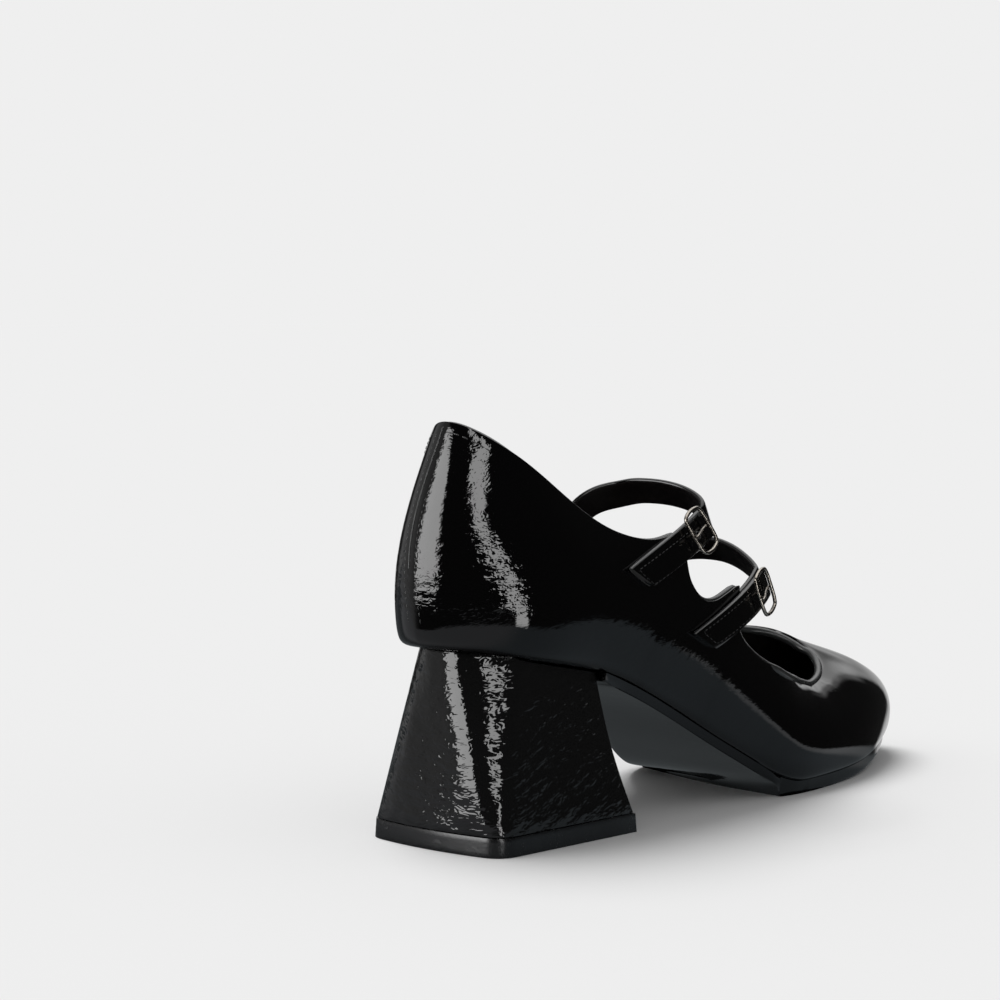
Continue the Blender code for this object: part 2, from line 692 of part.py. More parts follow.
# ---------------------------------------------------------------- scene
def make_material(name, color, roughness, metallic=0.0):
    """Return a Principled material."""
    material = bpy.data.materials.new(name)
    material.use_nodes = True
    shader = material.node_tree.nodes["Principled BSDF"]
    shader.inputs["Base Color"].default_value = (*color, 1.0)
    shader.inputs["Roughness"].default_value = roughness
    shader.inputs["Metallic"].default_value = metallic
    return material


def centre_on_origin(collection):
    """Move every mesh so that the shoe's box stands centred on the origin."""
    corners = np.array([v.co for obj in collection.objects for v in obj.data.vertices])
    low, high = corners.min(axis=0), corners.max(axis=0)
    shift = Vector((-(low[0] + high[0]) / 2, -(low[1] + high[1]) / 2, -low[2]))
    for obj in collection.objects:
        obj.data.transform(Matrix.Translation(shift))


def main():
    """Build the shoe."""
    for obj in list(bpy.data.objects):
        bpy.data.objects.remove(obj)
    collection = bpy.data.collections.new(NAME)
    bpy.context.scene.collection.children.link(collection)
    black = (0.006, 0.006, 0.007)
    metal = (0.42, 0.38, 0.34)
    make_upper(make_material("upper_patent", black, 0.08), collection)
    make_insole(make_material("insole_lining", (0.02, 0.019, 0.018), 0.6), collection)
    make_outsole(make_material("outsole_resin", (0.018, 0.018, 0.02), 0.35), collection)
    make_heel_block(make_material("heel_patent", black, 0.1), collection)
    make_top_lift(make_material("lift_rubber", (0.02, 0.02, 0.021), 0.5), collection)
    for which in TABS:
        make_tab(which, make_material("tab_patent_" + which, black, 0.12), collection)
        make_strap(which, make_material("strap_patent_" + which, black, 0.12), collection)
        make_buckle(which, make_material("buckle_metal_" + which, metal, 0.25, 1.0), collection)
        make_prong(which, make_material("prong_metal_" + which, metal, 0.25, 1.0), collection)
    centre_on_origin(collection)


main()
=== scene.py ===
"""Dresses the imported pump: smooth patent surfaces, folded topline, stitching, metal, sole and studio.

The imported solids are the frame. Each visible leather, sole and wire surface is a refined copy of its
solid, and the small things that the solids leave out (the folded topline, stitches, the back seam, a
punched hole) are modelled over it.

Axes, in metres: toe towards -Y, outer side with the buckles towards -X, +Z up.
"""
import logging
import math
from contextlib import contextmanager
from dataclasses import dataclass, field
from enum import Enum
from typing import Callable, Iterator, Sequence

import bmesh
import bpy
from mathutils import Matrix, Vector


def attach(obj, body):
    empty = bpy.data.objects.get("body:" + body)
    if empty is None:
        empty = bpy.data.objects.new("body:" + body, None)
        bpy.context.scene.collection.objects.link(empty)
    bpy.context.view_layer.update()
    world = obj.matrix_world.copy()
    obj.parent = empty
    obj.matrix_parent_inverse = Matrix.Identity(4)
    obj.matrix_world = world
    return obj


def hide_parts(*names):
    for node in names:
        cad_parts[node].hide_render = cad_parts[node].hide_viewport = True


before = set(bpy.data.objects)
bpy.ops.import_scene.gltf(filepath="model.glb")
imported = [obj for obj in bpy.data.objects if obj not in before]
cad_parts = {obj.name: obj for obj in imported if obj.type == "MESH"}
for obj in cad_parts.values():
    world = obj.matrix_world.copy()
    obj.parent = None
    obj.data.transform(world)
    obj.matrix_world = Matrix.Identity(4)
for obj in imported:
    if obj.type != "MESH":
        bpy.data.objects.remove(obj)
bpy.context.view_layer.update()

MM = 0.001
BODY = "root"
# Planes past the outer side and past the heel, from which rays look back at the shoe.
BESIDE = -100.0 * MM
BEHIND = 200.0 * MM
ROUND_SEGMENTS = 3
Facing = Callable[[Vector], tuple[Vector, Vector]]
Colour = tuple[float, float, float]
log = logging.getLogger("pump")


# ------------------------------------------------------------------------------ modelling bench
class Bench:
    """The modelling moves that the sub-assemblies share."""

    @staticmethod
    def deselect() -> None:
        """Deselect every object."""
        bpy.ops.object.select_all(action="DESELECT")

    @staticmethod
    def activate(piece: bpy.types.Object) -> None:
        """Make piece the only selected and the active object.

        Args:
            piece: The object to work on.
        """
        Bench.deselect()
        piece.select_set(True)
        bpy.context.view_layer.objects.active = piece

    @staticmethod
    @contextmanager
    def edit(piece: bpy.types.Object, select: str | None = "SELECT",
             mode: str = "VERT") -> Iterator[None]:
        """Open piece in edit mode.

        Args:
            piece: The mesh object to edit.
            select: What mesh.select_all does first, SELECT or DESELECT; None keeps what is selected.
            mode: The select mode, VERT, EDGE or FACE.

        Yields:
            Nothing; the block runs in edit mode.
        """
        Bench.activate(piece)
        bpy.ops.object.mode_set(mode="EDIT")
        bpy.ops.mesh.select_mode(type=mode)
        if select:
            bpy.ops.mesh.select_all(action=select)
        yield
        bpy.ops.object.mode_set(mode="OBJECT")

    @staticmethod
    def subdivide(piece: bpy.types.Object, levels: int = 2) -> None:
        """Smooth a mesh by subdivision, keeping its creased edges.

        Args:
            piece: The mesh object.
            levels: Times that each face is divided.
        """
        Bench.activate(piece)
        modifier = piece.modifiers.new("Subsurf", "SUBSURF")
        modifier.levels = modifier.render_levels = levels
        bpy.ops.object.modifier_apply(modifier=modifier.name)

    @staticmethod
    def settle(piece: bpy.types.Object) -> None:
        """Apply the object's place, turn and scale to its mesh."""
        Bench.activate(piece)
        bpy.ops.object.transform_apply(location=True, rotation=True, scale=True)

    @staticmethod
    def smooth(piece: bpy.types.Object, degrees: float = 40.0) -> None:
        """Shade smooth, but hard across edges sharper than degrees."""
        Bench.activate(piece)
        bpy.ops.object.shade_smooth_by_angle(angle=math.radians(degrees))

    @staticmethod
    def copy_node(node: str, name: str) -> bpy.types.Object:
        """Return a merged, quad-faced copy of a solid, with no material.

        Args:
            node: The solid's name.
            name: The new piece's name.

        Returns:
            The new object, linked to the scene.
        """
        piece = bpy.data.objects.new(name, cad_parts[node].data.copy())
        bpy.context.scene.collection.objects.link(piece)
        piece.data.name = name
        piece.data.materials.clear()
        with Bench.edit(piece):
            bpy.ops.mesh.customdata_custom_splitnormals_clear()
            bpy.ops.mesh.remove_doubles(threshold=1e-5)
            bpy.ops.mesh.tris_convert_to_quads(face_threshold=math.pi, shape_threshold=math.pi)
        return piece

    @staticmethod
    def is_sharp(edge: bmesh.types.BMEdge, degrees: float) -> bool:
        """Say whether the two faces beside an edge meet at more than degrees."""
        return len(edge.link_faces) == 2 and edge.calc_face_angle(0.0) > math.radians(degrees)

    @staticmethod
    def crease_sharp(piece: bpy.types.Object, degrees: float) -> None:
        """Crease the sharp edges, so that subdivision keeps them.

        Args:
            piece: The mesh object.
            degrees: Edges sharper than this are creased.
        """
        mesh = bmesh.new()
        mesh.from_mesh(piece.data)
        layer = mesh.edges.layers.float.get("crease_edge") or mesh.edges.layers.float.new("crease_edge")
        for edge in mesh.edges:
            if Bench.is_sharp(edge, degrees):
                edge[layer] = 1.0
        mesh.to_mesh(piece.data)
        mesh.free()

    @staticmethod
    def bevel_selected(radius: float) -> None:
        """Round the selected edges in edit mode by radius, in metres."""
        bpy.ops.mesh.bevel(offset=radius, segments=ROUND_SEGMENTS, profile=0.5, affect="EDGES",
                           clamp_overlap=True)

    @staticmethod
    def round_sharp(piece: bpy.types.Object, degrees: float, radius: float) -> None:
        """Round the sharp edges.

        Args:
            piece: The mesh object.
            degrees: Edges sharper than this are rounded.
            radius: Width of the rounding, in metres.
        """
        with Bench.edit(piece, "DESELECT", "EDGE"):
            bpy.ops.mesh.edges_select_sharp(sharpness=math.radians(degrees))
            Bench.bevel_selected(radius)

    @staticmethod
    def round_where(piece: bpy.types.Object, degrees: float, radius: float,
                    wanted: Callable[[bmesh.types.BMEdge], bool]) -> None:
        """Round those of the sharp edges that wanted picks.

        Args:
            piece: The mesh object.
            degrees: Only edges sharper than this are looked at.
            radius: Width of the rounding, in metres.
            wanted: Says whether an edge is rounded.
        """
        mesh = bmesh.new()
        mesh.from_mesh(piece.data)
        mesh.select_mode = {"EDGE"}
        for element in (*mesh.faces, *mesh.edges, *mesh.verts):
            element.select = False
        for edge in mesh.edges:
            edge.select_set(Bench.is_sharp(edge, degrees) and wanted(edge))
        mesh.to_mesh(piece.data)
        mesh.free()
        with Bench.edit(piece, None, "EDGE"):
            Bench.bevel_selected(radius)

    @staticmethod
    def refine(node: str, name: str, levels: int, sharp: float, radius: float = 0.0) -> bpy.types.Object:
        """Return a smooth copy of a solid with its hard edges kept or slightly rounded.

        Args:
            node: The solid's name.
            name: The new piece's name.
            levels: Subdivision levels.
            sharp: Edges sharper than this many degrees stay hard.
            radius: Rounding of the hard edges, in metres; 0 leaves them.

        Returns:
            The refined object.
        """
        piece = Bench.copy_node(node, name)
        Bench.crease_sharp(piece, sharp)
        Bench.subdivide(piece, levels)
        if radius:
            Bench.round_sharp(piece, sharp, radius)
        Bench.smooth(piece)
        return piece

    @staticmethod
    def tube(name: str, points: Sequence[Vector], radius: float, cyclic: bool, sides: int = 3,
             swell: Callable[[Vector], float] | None = None) -> bpy.types.Object:
        """Return a round tube along points.

        Args:
            name: The new piece's name.
            points: The tube's middle line, in metres.
            radius: The tube's radius, in metres.
            cyclic: True if it closes on itself.
            sides: Bevel resolution of the round section.
            swell: Gives a factor on the radius at a point.

        Returns:
            The tube as a mesh object.
        """
        curve = bpy.data.curves.new(name, "CURVE")
        curve.dimensions = "3D"
        curve.bevel_depth = radius
        curve.bevel_resolution = sides
        curve.use_fill_caps = not cyclic
        spline = curve.splines.new("POLY")
        spline.points.add(len(points) - 1)
        for slot, point in zip(spline.points, points):
            slot.co = (*point, 1.0)
            slot.radius = swell(point) if swell else 1.0
        spline.use_cyclic_u = cyclic
        piece = bpy.data.objects.new(name, curve)
        bpy.context.scene.collection.objects.link(piece)
        Bench.activate(piece)
        bpy.ops.object.convert(target="MESH")
        piece = bpy.context.view_layer.objects.active
        with Bench.edit(piece):
            bpy.ops.mesh.remove_doubles(threshold=1e-6)
            bpy.ops.mesh.normals_make_consistent(inside=False)
        Bench.smooth(piece, 60)
        return piece

    @staticmethod
    def join(name: str, pieces: Sequence[bpy.types.Object]) -> bpy.types.Object:
        """Join pieces into one object.

        Args:
            name: The joined piece's name.
            pieces: The mesh objects, which become one.

        Returns:
            The joined object.
        """
        Bench.deselect()
        for piece in pieces:
            piece.select_set(True)
        bpy.context.view_layer.objects.active = pieces[0]
        bpy.ops.object.join()
        joined = bpy.context.view_layer.objects.active
        joined.name = name
        joined.data.name = name
        return joined

    @staticmethod
    def dress(piece: bpy.types.Object, finish: bpy.types.Material | None, slot: str,
              *nodes: str) -> bpy.types.Object:
        """Give piece its finish and its body, and let it stand for solids.

        Args:
            piece: The finished mesh object.
            finish: Its material; None keeps those it has.
            slot: Not used.
            nodes: The solids that it replaces.

        Returns:
            The same piece.
        """
        if finish is not None:
            piece.data.materials.clear()
            piece.data.materials.append(finish)
        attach(piece, BODY)
        if nodes:
            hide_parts(*nodes)
        log.info("%s: %d faces", piece.name, len(piece.data.polygons))
        return piece


# The middle of the space for the foot, from the heel to the toe: the lining looks towards it.
SPINE = (Vector((-0.004, 0.098, 0.084)), Vector((0.004, -0.098, 0.019)))
INWARD = 0.35
DOWNWARD = -0.3


def share_of(value: float, start: float, run: float) -> float:
    """Return how far value lies from start along run, held between 0 and 1."""
    return min(1.0, max(0.0, (value - start) / run))


def looks_inward(point: Vector, normal: Vector) -> bool:
    """Say whether a face looks into the shoe.

    Args:
        point: The face's middle.
        normal: The face's normal.

    Returns:
        True if it looks towards the middle of the space for the foot.
    """
    start, end = SPINE
    axis = end - start
    share = share_of((point - start).dot(axis), 0.0, axis.length_squared)
    return normal.dot((start + axis * share - point).normalized()) > INWARD


def faces_down(edge: bmesh.types.BMEdge) -> bool:
    """Say whether a face beside the edge looks down."""
    return min(face.normal.z for face in edge.link_faces) < DOWNWARD


def nearest_on(piece: bpy.types.Object) -> Facing:
    """Return a function that gives a surface's nearest point.

    Args:
        piece: The object whose surface is meant.

    Returns:
        A function from a point to the surface's nearest point and its normal.
    """
    def nearest(point: Vector) -> tuple[Vector, Vector]:
        """Return the surface's nearest point and its normal."""
        _, place, normal, _ = piece.closest_point_on_mesh(point)
        return place, normal

    return nearest


def line_inside(piece: bpy.types.Object, outside: bpy.types.Material,
                inside: bpy.types.Material) -> None:
    """Give a piece one material where it faces out and another where it looks into the shoe.

    Args:
        piece: The mesh object.
        outside: The material of what faces out.
        inside: The material of what looks into the shoe.
    """
    piece.data.materials.clear()
    piece.data.materials.append(outside)
    piece.data.materials.append(inside)
    for face in piece.data.polygons:
        face.material_index = int(looks_inward(face.center, face.normal))


def resampled(points: Sequence[Vector], step: float, cyclic: bool = False) -> list[Vector]:
    """Return points at even steps along a polyline.

    Args:
        points: The polyline's corners.
        step: Distance between the returned points, in metres.
        cyclic: True if the line closes on itself.

    Returns:
        The evenly spaced points.
    """
    line = list(points) + ([points[0]] if cyclic else [])
    spans = [(b - a).length for a, b in zip(line, line[1:])]
    total = sum(spans)
    count = max(2, int(round(total / step)))
    result, index, passed = [], 0, 0.0
    for k in range(count + (0 if cyclic else 1)):
        goal = total * k / count
        while index < len(spans) - 1 and passed + spans[index] < goal:
            passed += spans[index]
            index += 1
        share = (goal - passed) / spans[index] if spans[index] else 0.0
        result.append(line[index].lerp(line[index + 1], min(1.0, share)))
    return result


# ------------------------------------------------------------------------------ node groups
class Shader:
    """A material under construction, with short ways to add and link nodes."""

    def __init__(self, tree: bpy.types.NodeTree) -> None:
        """Work on an existing node tree."""
        self.tree = tree

    def add(self, kind: str, inputs: dict | None = None, **settings: object) -> bpy.types.Node:
        """Add a node.

        Args:
            kind: The node's class name without its ShaderNode prefix.
            inputs: Values or sockets for its inputs, by name or number.
            settings: Attributes to set on the node.

        Returns:
            The new node.
        """
        node = self.tree.nodes.new(kind if kind.startswith("Node") else "ShaderNode" + kind)
        for name, value in settings.items():
            setattr(node, name, value)
        for key, value in (inputs or {}).items():
            if isinstance(value, bpy.types.NodeSocket):
                self.tree.links.new(value, node.inputs[key])
            else:
                node.inputs[key].default_value = value
        return node

    def math(self, operation: str, *values: object) -> bpy.types.NodeSocket:
        """Return the result of a Math node's operation over numbers or sockets."""
        return self.add("Math", dict(enumerate(values)), operation=operation).outputs[0]

    def link(self, source: bpy.types.NodeSocket, node: bpy.types.Node, label: str) -> None:
        """Feed a socket to a node's input."""
        self.tree.links.new(source, node.inputs[label])

    def blend(self, share: bpy.types.NodeSocket, first: object, second: Colour) -> bpy.types.NodeSocket:
        """Return a colour that goes from one to another.

        Args:
            share: Where the second colour shows.
            first: A colour or a colour socket.
            second: A colour.

        Returns:
            The blended colour.
        """
        mix = self.add("Mix", {"Factor": share}, data_type="RGBA")
        if isinstance(first, bpy.types.NodeSocket):
            self.link(first, mix, "A")
        else:
            mix.inputs["A"].default_value = (*first, 1.0)
        mix.inputs["B"].default_value = (*second, 1.0)
        return mix.outputs["Result"]

    def emboss(self, skin: bpy.types.Node, height: bpy.types.NodeSocket, distance: float) -> None:
        """Give a surface its relief.

        Args:
            skin: The Principled node.
            height: The relief's pattern.
            distance: The relief's height, in metres.
        """
        bump = self.add("Bump", {"Height": height, "Distance": distance, "Strength": 1.0})
        self.link(bump.outputs[0], skin, "Normal")

    def wear(self, skin: bpy.types.Node, marks: bpy.types.Node, roughness: float, smear: float,
             scratch: float = 0.0) -> None:
        """Give a surface its roughness, more where it was handled.

        Args:
            skin: The Principled node.
            marks: The placed handling group.
            roughness: Roughness of the clean surface.
            smear: How much a smear adds.
            scratch: How much a scratch adds; 0 leaves scratches out.
        """
        rough = self.math("MULTIPLY_ADD", marks.outputs["Smear"], smear, roughness)
        if scratch:
            rough = self.math("MULTIPLY_ADD", marks.outputs["Scratch"], scratch, rough)
        self.link(rough, skin, "Roughness")

    def ramp(self, value: object, low: float, high: float, out_low: float = 0.0,
             out_high: float = 1.0) -> bpy.types.NodeSocket:
        """Map a value smoothly from one range to another.

        Args:
            value: A number or a socket.
            low: Where the ramp starts.
            high: Where it ends; it may be below low.
            out_low: The result at low.
            out_high: The result at high.

        Returns:
            The mapped value.
        """
        node = self.add("MapRange", {"Value": value, "From Min": low, "From Max": high,
                                     "To Min": out_low, "To Max": out_high},
                        interpolation_type="SMOOTHSTEP")
        return node.outputs["Result"]


def new_group(name: str, inputs: dict[str, float],
              outputs: Sequence[str]) -> tuple[Shader, dict, bpy.types.Node]:
    """Start a shader node group.

    Args:
        name: The group's name.
        inputs: Its number inputs and their usual values.
        outputs: Its number outputs.

    Returns:
        A Shader for its tree, its input sockets by name, and its output node.
    """
    tree = bpy.data.node_groups.new(name, "ShaderNodeTree")
    for label, value in inputs.items():
        socket = tree.interface.new_socket(label, in_out="INPUT", socket_type="NodeSocketFloat")
        socket.default_value = value
    for label in outputs:
        tree.interface.new_socket(label, in_out="OUTPUT", socket_type="NodeSocketFloat")
    shader = Shader(tree)
    entry, end = shader.add("NodeGroupInput"), shader.add("NodeGroupOutput")
    return shader, {label: entry.outputs[label] for label in inputs}, end


def crinkle_group() -> bpy.types.NodeTree:
    """Make the group for crinkled patent: drawn-out ripples cut by thin curved valleys.

    Returns:
        The group, with the relief as its output.
    """
    shader, given, end = new_group(
        "crinkle", {"Scale": 900.0, "Stretch": 0.5, "Drift": 0.0025, "Cells": 0.4}, ["Height"])
    place = shader.add("TexCoord").outputs["Object"]
    slow = shader.add("TexNoise", {"Vector": place, "Scale": 70.0, "Detail": 1.0}).outputs["Color"]
    centred = shader.add("VectorMath", {0: slow, 1: (0.5, 0.5, 0.5)}, operation="SUBTRACT").outputs[0]
    pushed = shader.add("VectorMath", {0: centred, "Scale": given["Drift"]}, operation="SCALE")
    warped = shader.add("VectorMath", {0: place, 1: pushed.outputs[0]}, operation="ADD").outputs[0]
    turned = shader.add("Mapping", {"Vector": warped, "Rotation": (math.radians(22), 0.0, 0.0)})
    sides = shader.add("CombineXYZ", {0: given["Stretch"], 1: given["Stretch"], 2: 1.0}).outputs[0]
    drawn = shader.add("VectorMath", {0: turned.outputs[0], 1: sides}, operation="MULTIPLY").outputs[0]
    fine = shader.add("TexNoise", {"Vector": drawn, "Scale": given["Scale"], "Detail": 1.0,
                                   "Roughness": 0.45, "Distortion": 0.35}).outputs["Fac"]
    ridge = shader.math("ABSOLUTE", shader.math("SUBTRACT", fine, 0.5))
    broad = shader.math("MULTIPLY", given["Scale"], 0.6)
    swell = shader.add("TexNoise", {"Vector": drawn, "Scale": broad, "Detail": 0.0}).outputs["Fac"]
    ridge = shader.math("MULTIPLY", shader.math("MULTIPLY", ridge, 2.0), given["Cells"])
    swell = shader.math("MULTIPLY", swell, shader.math("SUBTRACT", 1.0, given["Cells"]))
    height = shader.math("ADD", ridge, swell)
    shader.link(height, end, "Height")
    return shader.tree


def near_group() -> bpy.types.NodeTree:
    """Make the group for a soft round mask.

    Returns:
        The group, whose mask is 1 at a spot and 0 beyond its reach.
    """
    shader, given, end = new_group("near", {"X": 0.0, "Y": 0.0, "Z": 0.0, "Reach": 0.01}, ["Mask"])
    place = shader.add("TexCoord").outputs["Object"]
    spot = shader.add("CombineXYZ", {0: given["X"], 1: given["Y"], 2: given["Z"]}).outputs[0]
    apart = shader.add("VectorMath", {0: place, 1: spot}, operation="DISTANCE").outputs["Value"]
    share = shader.math("DIVIDE", apart, given["Reach"])
    shader.link(shader.ramp(share, 0.25, 1.0, 1.0, 0.0), end, "Mask")
    return shader.tree


def wear_group() -> bpy.types.NodeTree:
    """Make the group for faint handling marks.

    Returns:
        The group, with a mask of smears and one of fine scratches.
    """
    shader, given, end = new_group("handling", {"Scale": 40.0, "Amount": 1.0}, ["Smear", "Scratch"])
    place = shader.add("TexCoord").outputs["Object"]
    cloud = shader.add("TexNoise", {"Vector": place, "Scale": given["Scale"], "Detail": 3.0})
    smear = shader.math("MULTIPLY", shader.ramp(cloud.outputs["Fac"], 0.45, 0.75), given["Amount"])
    drawn = shader.add("Mapping", {"Vector": place, "Rotation": (0.4, 0.2, 0.9),
                                   "Scale": (1.0, 14.0, 5.0)})
    lines = shader.add("TexNoise", {"Vector": drawn.outputs[0], "Scale": 90.0, "Detail": 2.0})
    scratch = shader.math("MULTIPLY", shader.ramp(lines.outputs["Fac"], 0.66, 0.72), given["Amount"])
    shader.link(smear, end, "Smear")
    shader.link(scratch, end, "Scratch")
    return shader.tree


def grain_group() -> bpy.types.NodeTree:
    """Make the group for fine leather or moulded grain.

    Returns:
        The group, with the relief as its output.
    """
    shader, given, end = new_group("grain", {"Scale": 1800.0}, ["Height"])
    place = shader.add("TexCoord").outputs["Object"]
    pores = shader.add("TexVoronoi", {"Vector": place, "Scale": given["Scale"]}).outputs["Distance"]
    half = shader.math("MULTIPLY", given["Scale"], 0.3)
    soft = shader.add("TexNoise", {"Vector": place, "Scale": half, "Detail": 2.0}).outputs["Fac"]
    height = shader.math("ADD", shader.math("MULTIPLY", pores, 0.6), soft)
    shader.link(height, end, "Height")
    return shader.tree


GROUPS = {"crinkle": crinkle_group(), "near": near_group(), "handling": wear_group(),
          "grain": grain_group()}


def new_material(name: str) -> tuple[bpy.types.Material, Shader, bpy.types.Node]:
    """Start a material.

    Args:
        name: The material's name.

    Returns:
        The material, its Shader and its Principled node.
    """
    material = bpy.data.materials.new(name)
    material.use_nodes = True
    return material, Shader(material.node_tree), material.node_tree.nodes["Principled BSDF"]


def place_group(shader: Shader, name: str, **values: float) -> bpy.types.Node:
    """Place a shared group in a material.

    Args:
        shader: The material's Shader.
        name: The group's key in GROUPS.
        values: The inputs that this material sets.

    Returns:
        The group's node.
    """
    node = shader.add("Group", node_tree=GROUPS[name])
    for label, value in values.items():
        node.inputs[label].default_value = value
    return node


# ------------------------------------------------------------------------------ finishes
class Crinkle(Enum):
    """Ripples of a patent surface: density per metre, height in metres, share of sharp valleys."""

    UPPER = (1050.0, 0.00006, 0.35)
    HEEL = (780.0, 0.00038, 0.3)
    FAINT = (900.0, 0.00003, 0.2)


# Where the upper's zones fade into each other, in metres: WAIST and COUNTER along Y, SEAT and COLLAR
# up Z.
WAIST = (-0.05, 0.05)
COUNTER = (0.085, 0.105)
SEAT = (0.0665, 0.0715)
COLLAR = (0.078, 0.1)


@dataclass(frozen=True)
class Spot:
    """A place where the leather crinkles harder than round it."""

    x: float
    y: float
    z: float
    reach: float
    gain: float


@dataclass(frozen=True)
class PatentFinish:
    """Black patent leather: a mirror-like film over soft crinkles."""

    name: str
    crinkle: Crinkle = Crinkle.UPPER
    base: Colour = (0.0014, 0.0013, 0.0014)
    roughness: float = 0.035
    stretch: float = 0.5
    spots: tuple[Spot, ...] = ()
    zoned: bool = False

    def amount(self, shader: Shader) -> bpy.types.NodeSocket | None:
        """Say how strongly the crinkles show from place to place: calm at the toe and over the seat.

        Args:
            shader: The material's Shader.

        Returns:
            The factor on the relief, or None where it is even.
        """
        if not self.zoned:
            return None
        place = shader.add("SeparateXYZ", {0: shader.add("TexCoord").outputs["Object"]})
        along, up = place.outputs["Y"], place.outputs["Z"]
        level = shader.ramp(along, *WAIST, 0.3, 0.8)
        rear = shader.ramp(along, *COUNTER)
        low = shader.math("MULTIPLY", shader.ramp(up, *COLLAR, 2.6, 0.45), shader.ramp(up, *SEAT))
        level = shader.math("ADD", level, shader.math("MULTIPLY", rear, low))
        seat = shader.math("MULTIPLY", rear, shader.ramp(up, *SEAT, 0.65, 0.0))
        level = shader.math("MULTIPLY", level, shader.math("SUBTRACT", 1.0, seat))
        for spot in self.spots:
            near = place_group(shader, "near", X=spot.x, Y=spot.y, Z=spot.z, Reach=spot.reach)
            level = shader.math("MULTIPLY_ADD", near.outputs["Mask"], spot.gain, level)
        return level

    def build(self) -> bpy.types.Material:
        """Make the finish.

        Returns:
            The material.
        """
        material, shader, skin = new_material(self.name)
        density, distance, cells = self.crinkle.value
        crinkle = place_group(shader, "crinkle", Scale=density, Stretch=self.stretch, Cells=cells)
        marks = place_group(shader, "handling", Scale=45.0, Amount=1.0)
        skin.inputs["Base Color"].default_value = (*self.base, 1.0)
        skin.inputs["IOR"].default_value = 1.46
        shader.wear(skin, marks, self.roughness, 0.015, 0.02)
        height, amount = crinkle.outputs["Height"], self.amount(shader)
        if amount is not None:
            height = shader.math("MULTIPLY", height, amount)
        shader.emboss(skin, height, distance)
        return material


@dataclass(frozen=True)
class LeatherFinish:
    """Plain lining leather, or thread, with a fine grain."""

    name: str
    base: Colour
    light: Colour
    roughness: float = 0.5
    grain: float = 1500.0
    height: float = 0.03 * MM
    shine: float = 0.12

    def build(self) -> bpy.types.Material:
        """Make the finish.

        Returns:
            The material.
        """
        material, shader, skin = new_material(self.name)
        grain = place_group(shader, "grain", Scale=self.grain)
        marks = place_group(shader, "handling", Scale=60.0, Amount=1.0)
        skin.inputs["Specular IOR Level"].default_value = self.shine
        shader.link(shader.blend(marks.outputs["Smear"], self.base, self.light), skin, "Base Color")
        shader.wear(skin, marks, self.roughness, 0.12)
        shader.emboss(skin, grain.outputs["Height"], self.height)
        return material


@dataclass(frozen=True)
class ResinFinish:
    """Moulded rubber of the top lift, or edge paint, with faint scuffs."""

    name: str
    base: Colour
    scuffed: Colour
    roughness: float
    grain: float = 900.0
    height: float = 0.02 * MM

    def build(self) -> bpy.types.Material:
        """Make the finish.

        Returns:
            The material.
        """
        material, shader, skin = new_material(self.name)
        grain = place_group(shader, "grain", Scale=self.grain)
        marks = place_group(shader, "handling", Scale=35.0, Amount=1.0)
        shader.link(shader.blend(marks.outputs["Scratch"], self.base, self.scuffed), skin, "Base Color")
        shader.wear(skin, marks, self.roughness, 0.1, 0.2)
        shader.emboss(skin, grain.outputs["Height"], self.height)
        return material


@dataclass(frozen=True)
class WireFinish:
    """Polished, slightly warm plated wire, dulled in patches."""

    name: str
    base: Colour = (0.36, 0.33, 0.29)
    dull: Colour = (0.17, 0.155, 0.135)
    roughness: float = 0.22

    def build(self) -> bpy.types.Material:
        """Make the finish.

        Returns:
            The material.
        """
        material, shader, skin = new_material(self.name)
        marks = place_group(shader, "handling", Scale=260.0, Amount=1.0)
        shader.link(shader.blend(marks.outputs["Smear"], self.base, self.dull), skin, "Base Color")
        skin.inputs["Metallic"].default_value = 1.0
        shader.wear(skin, marks, self.roughness, 0.16)
        return material


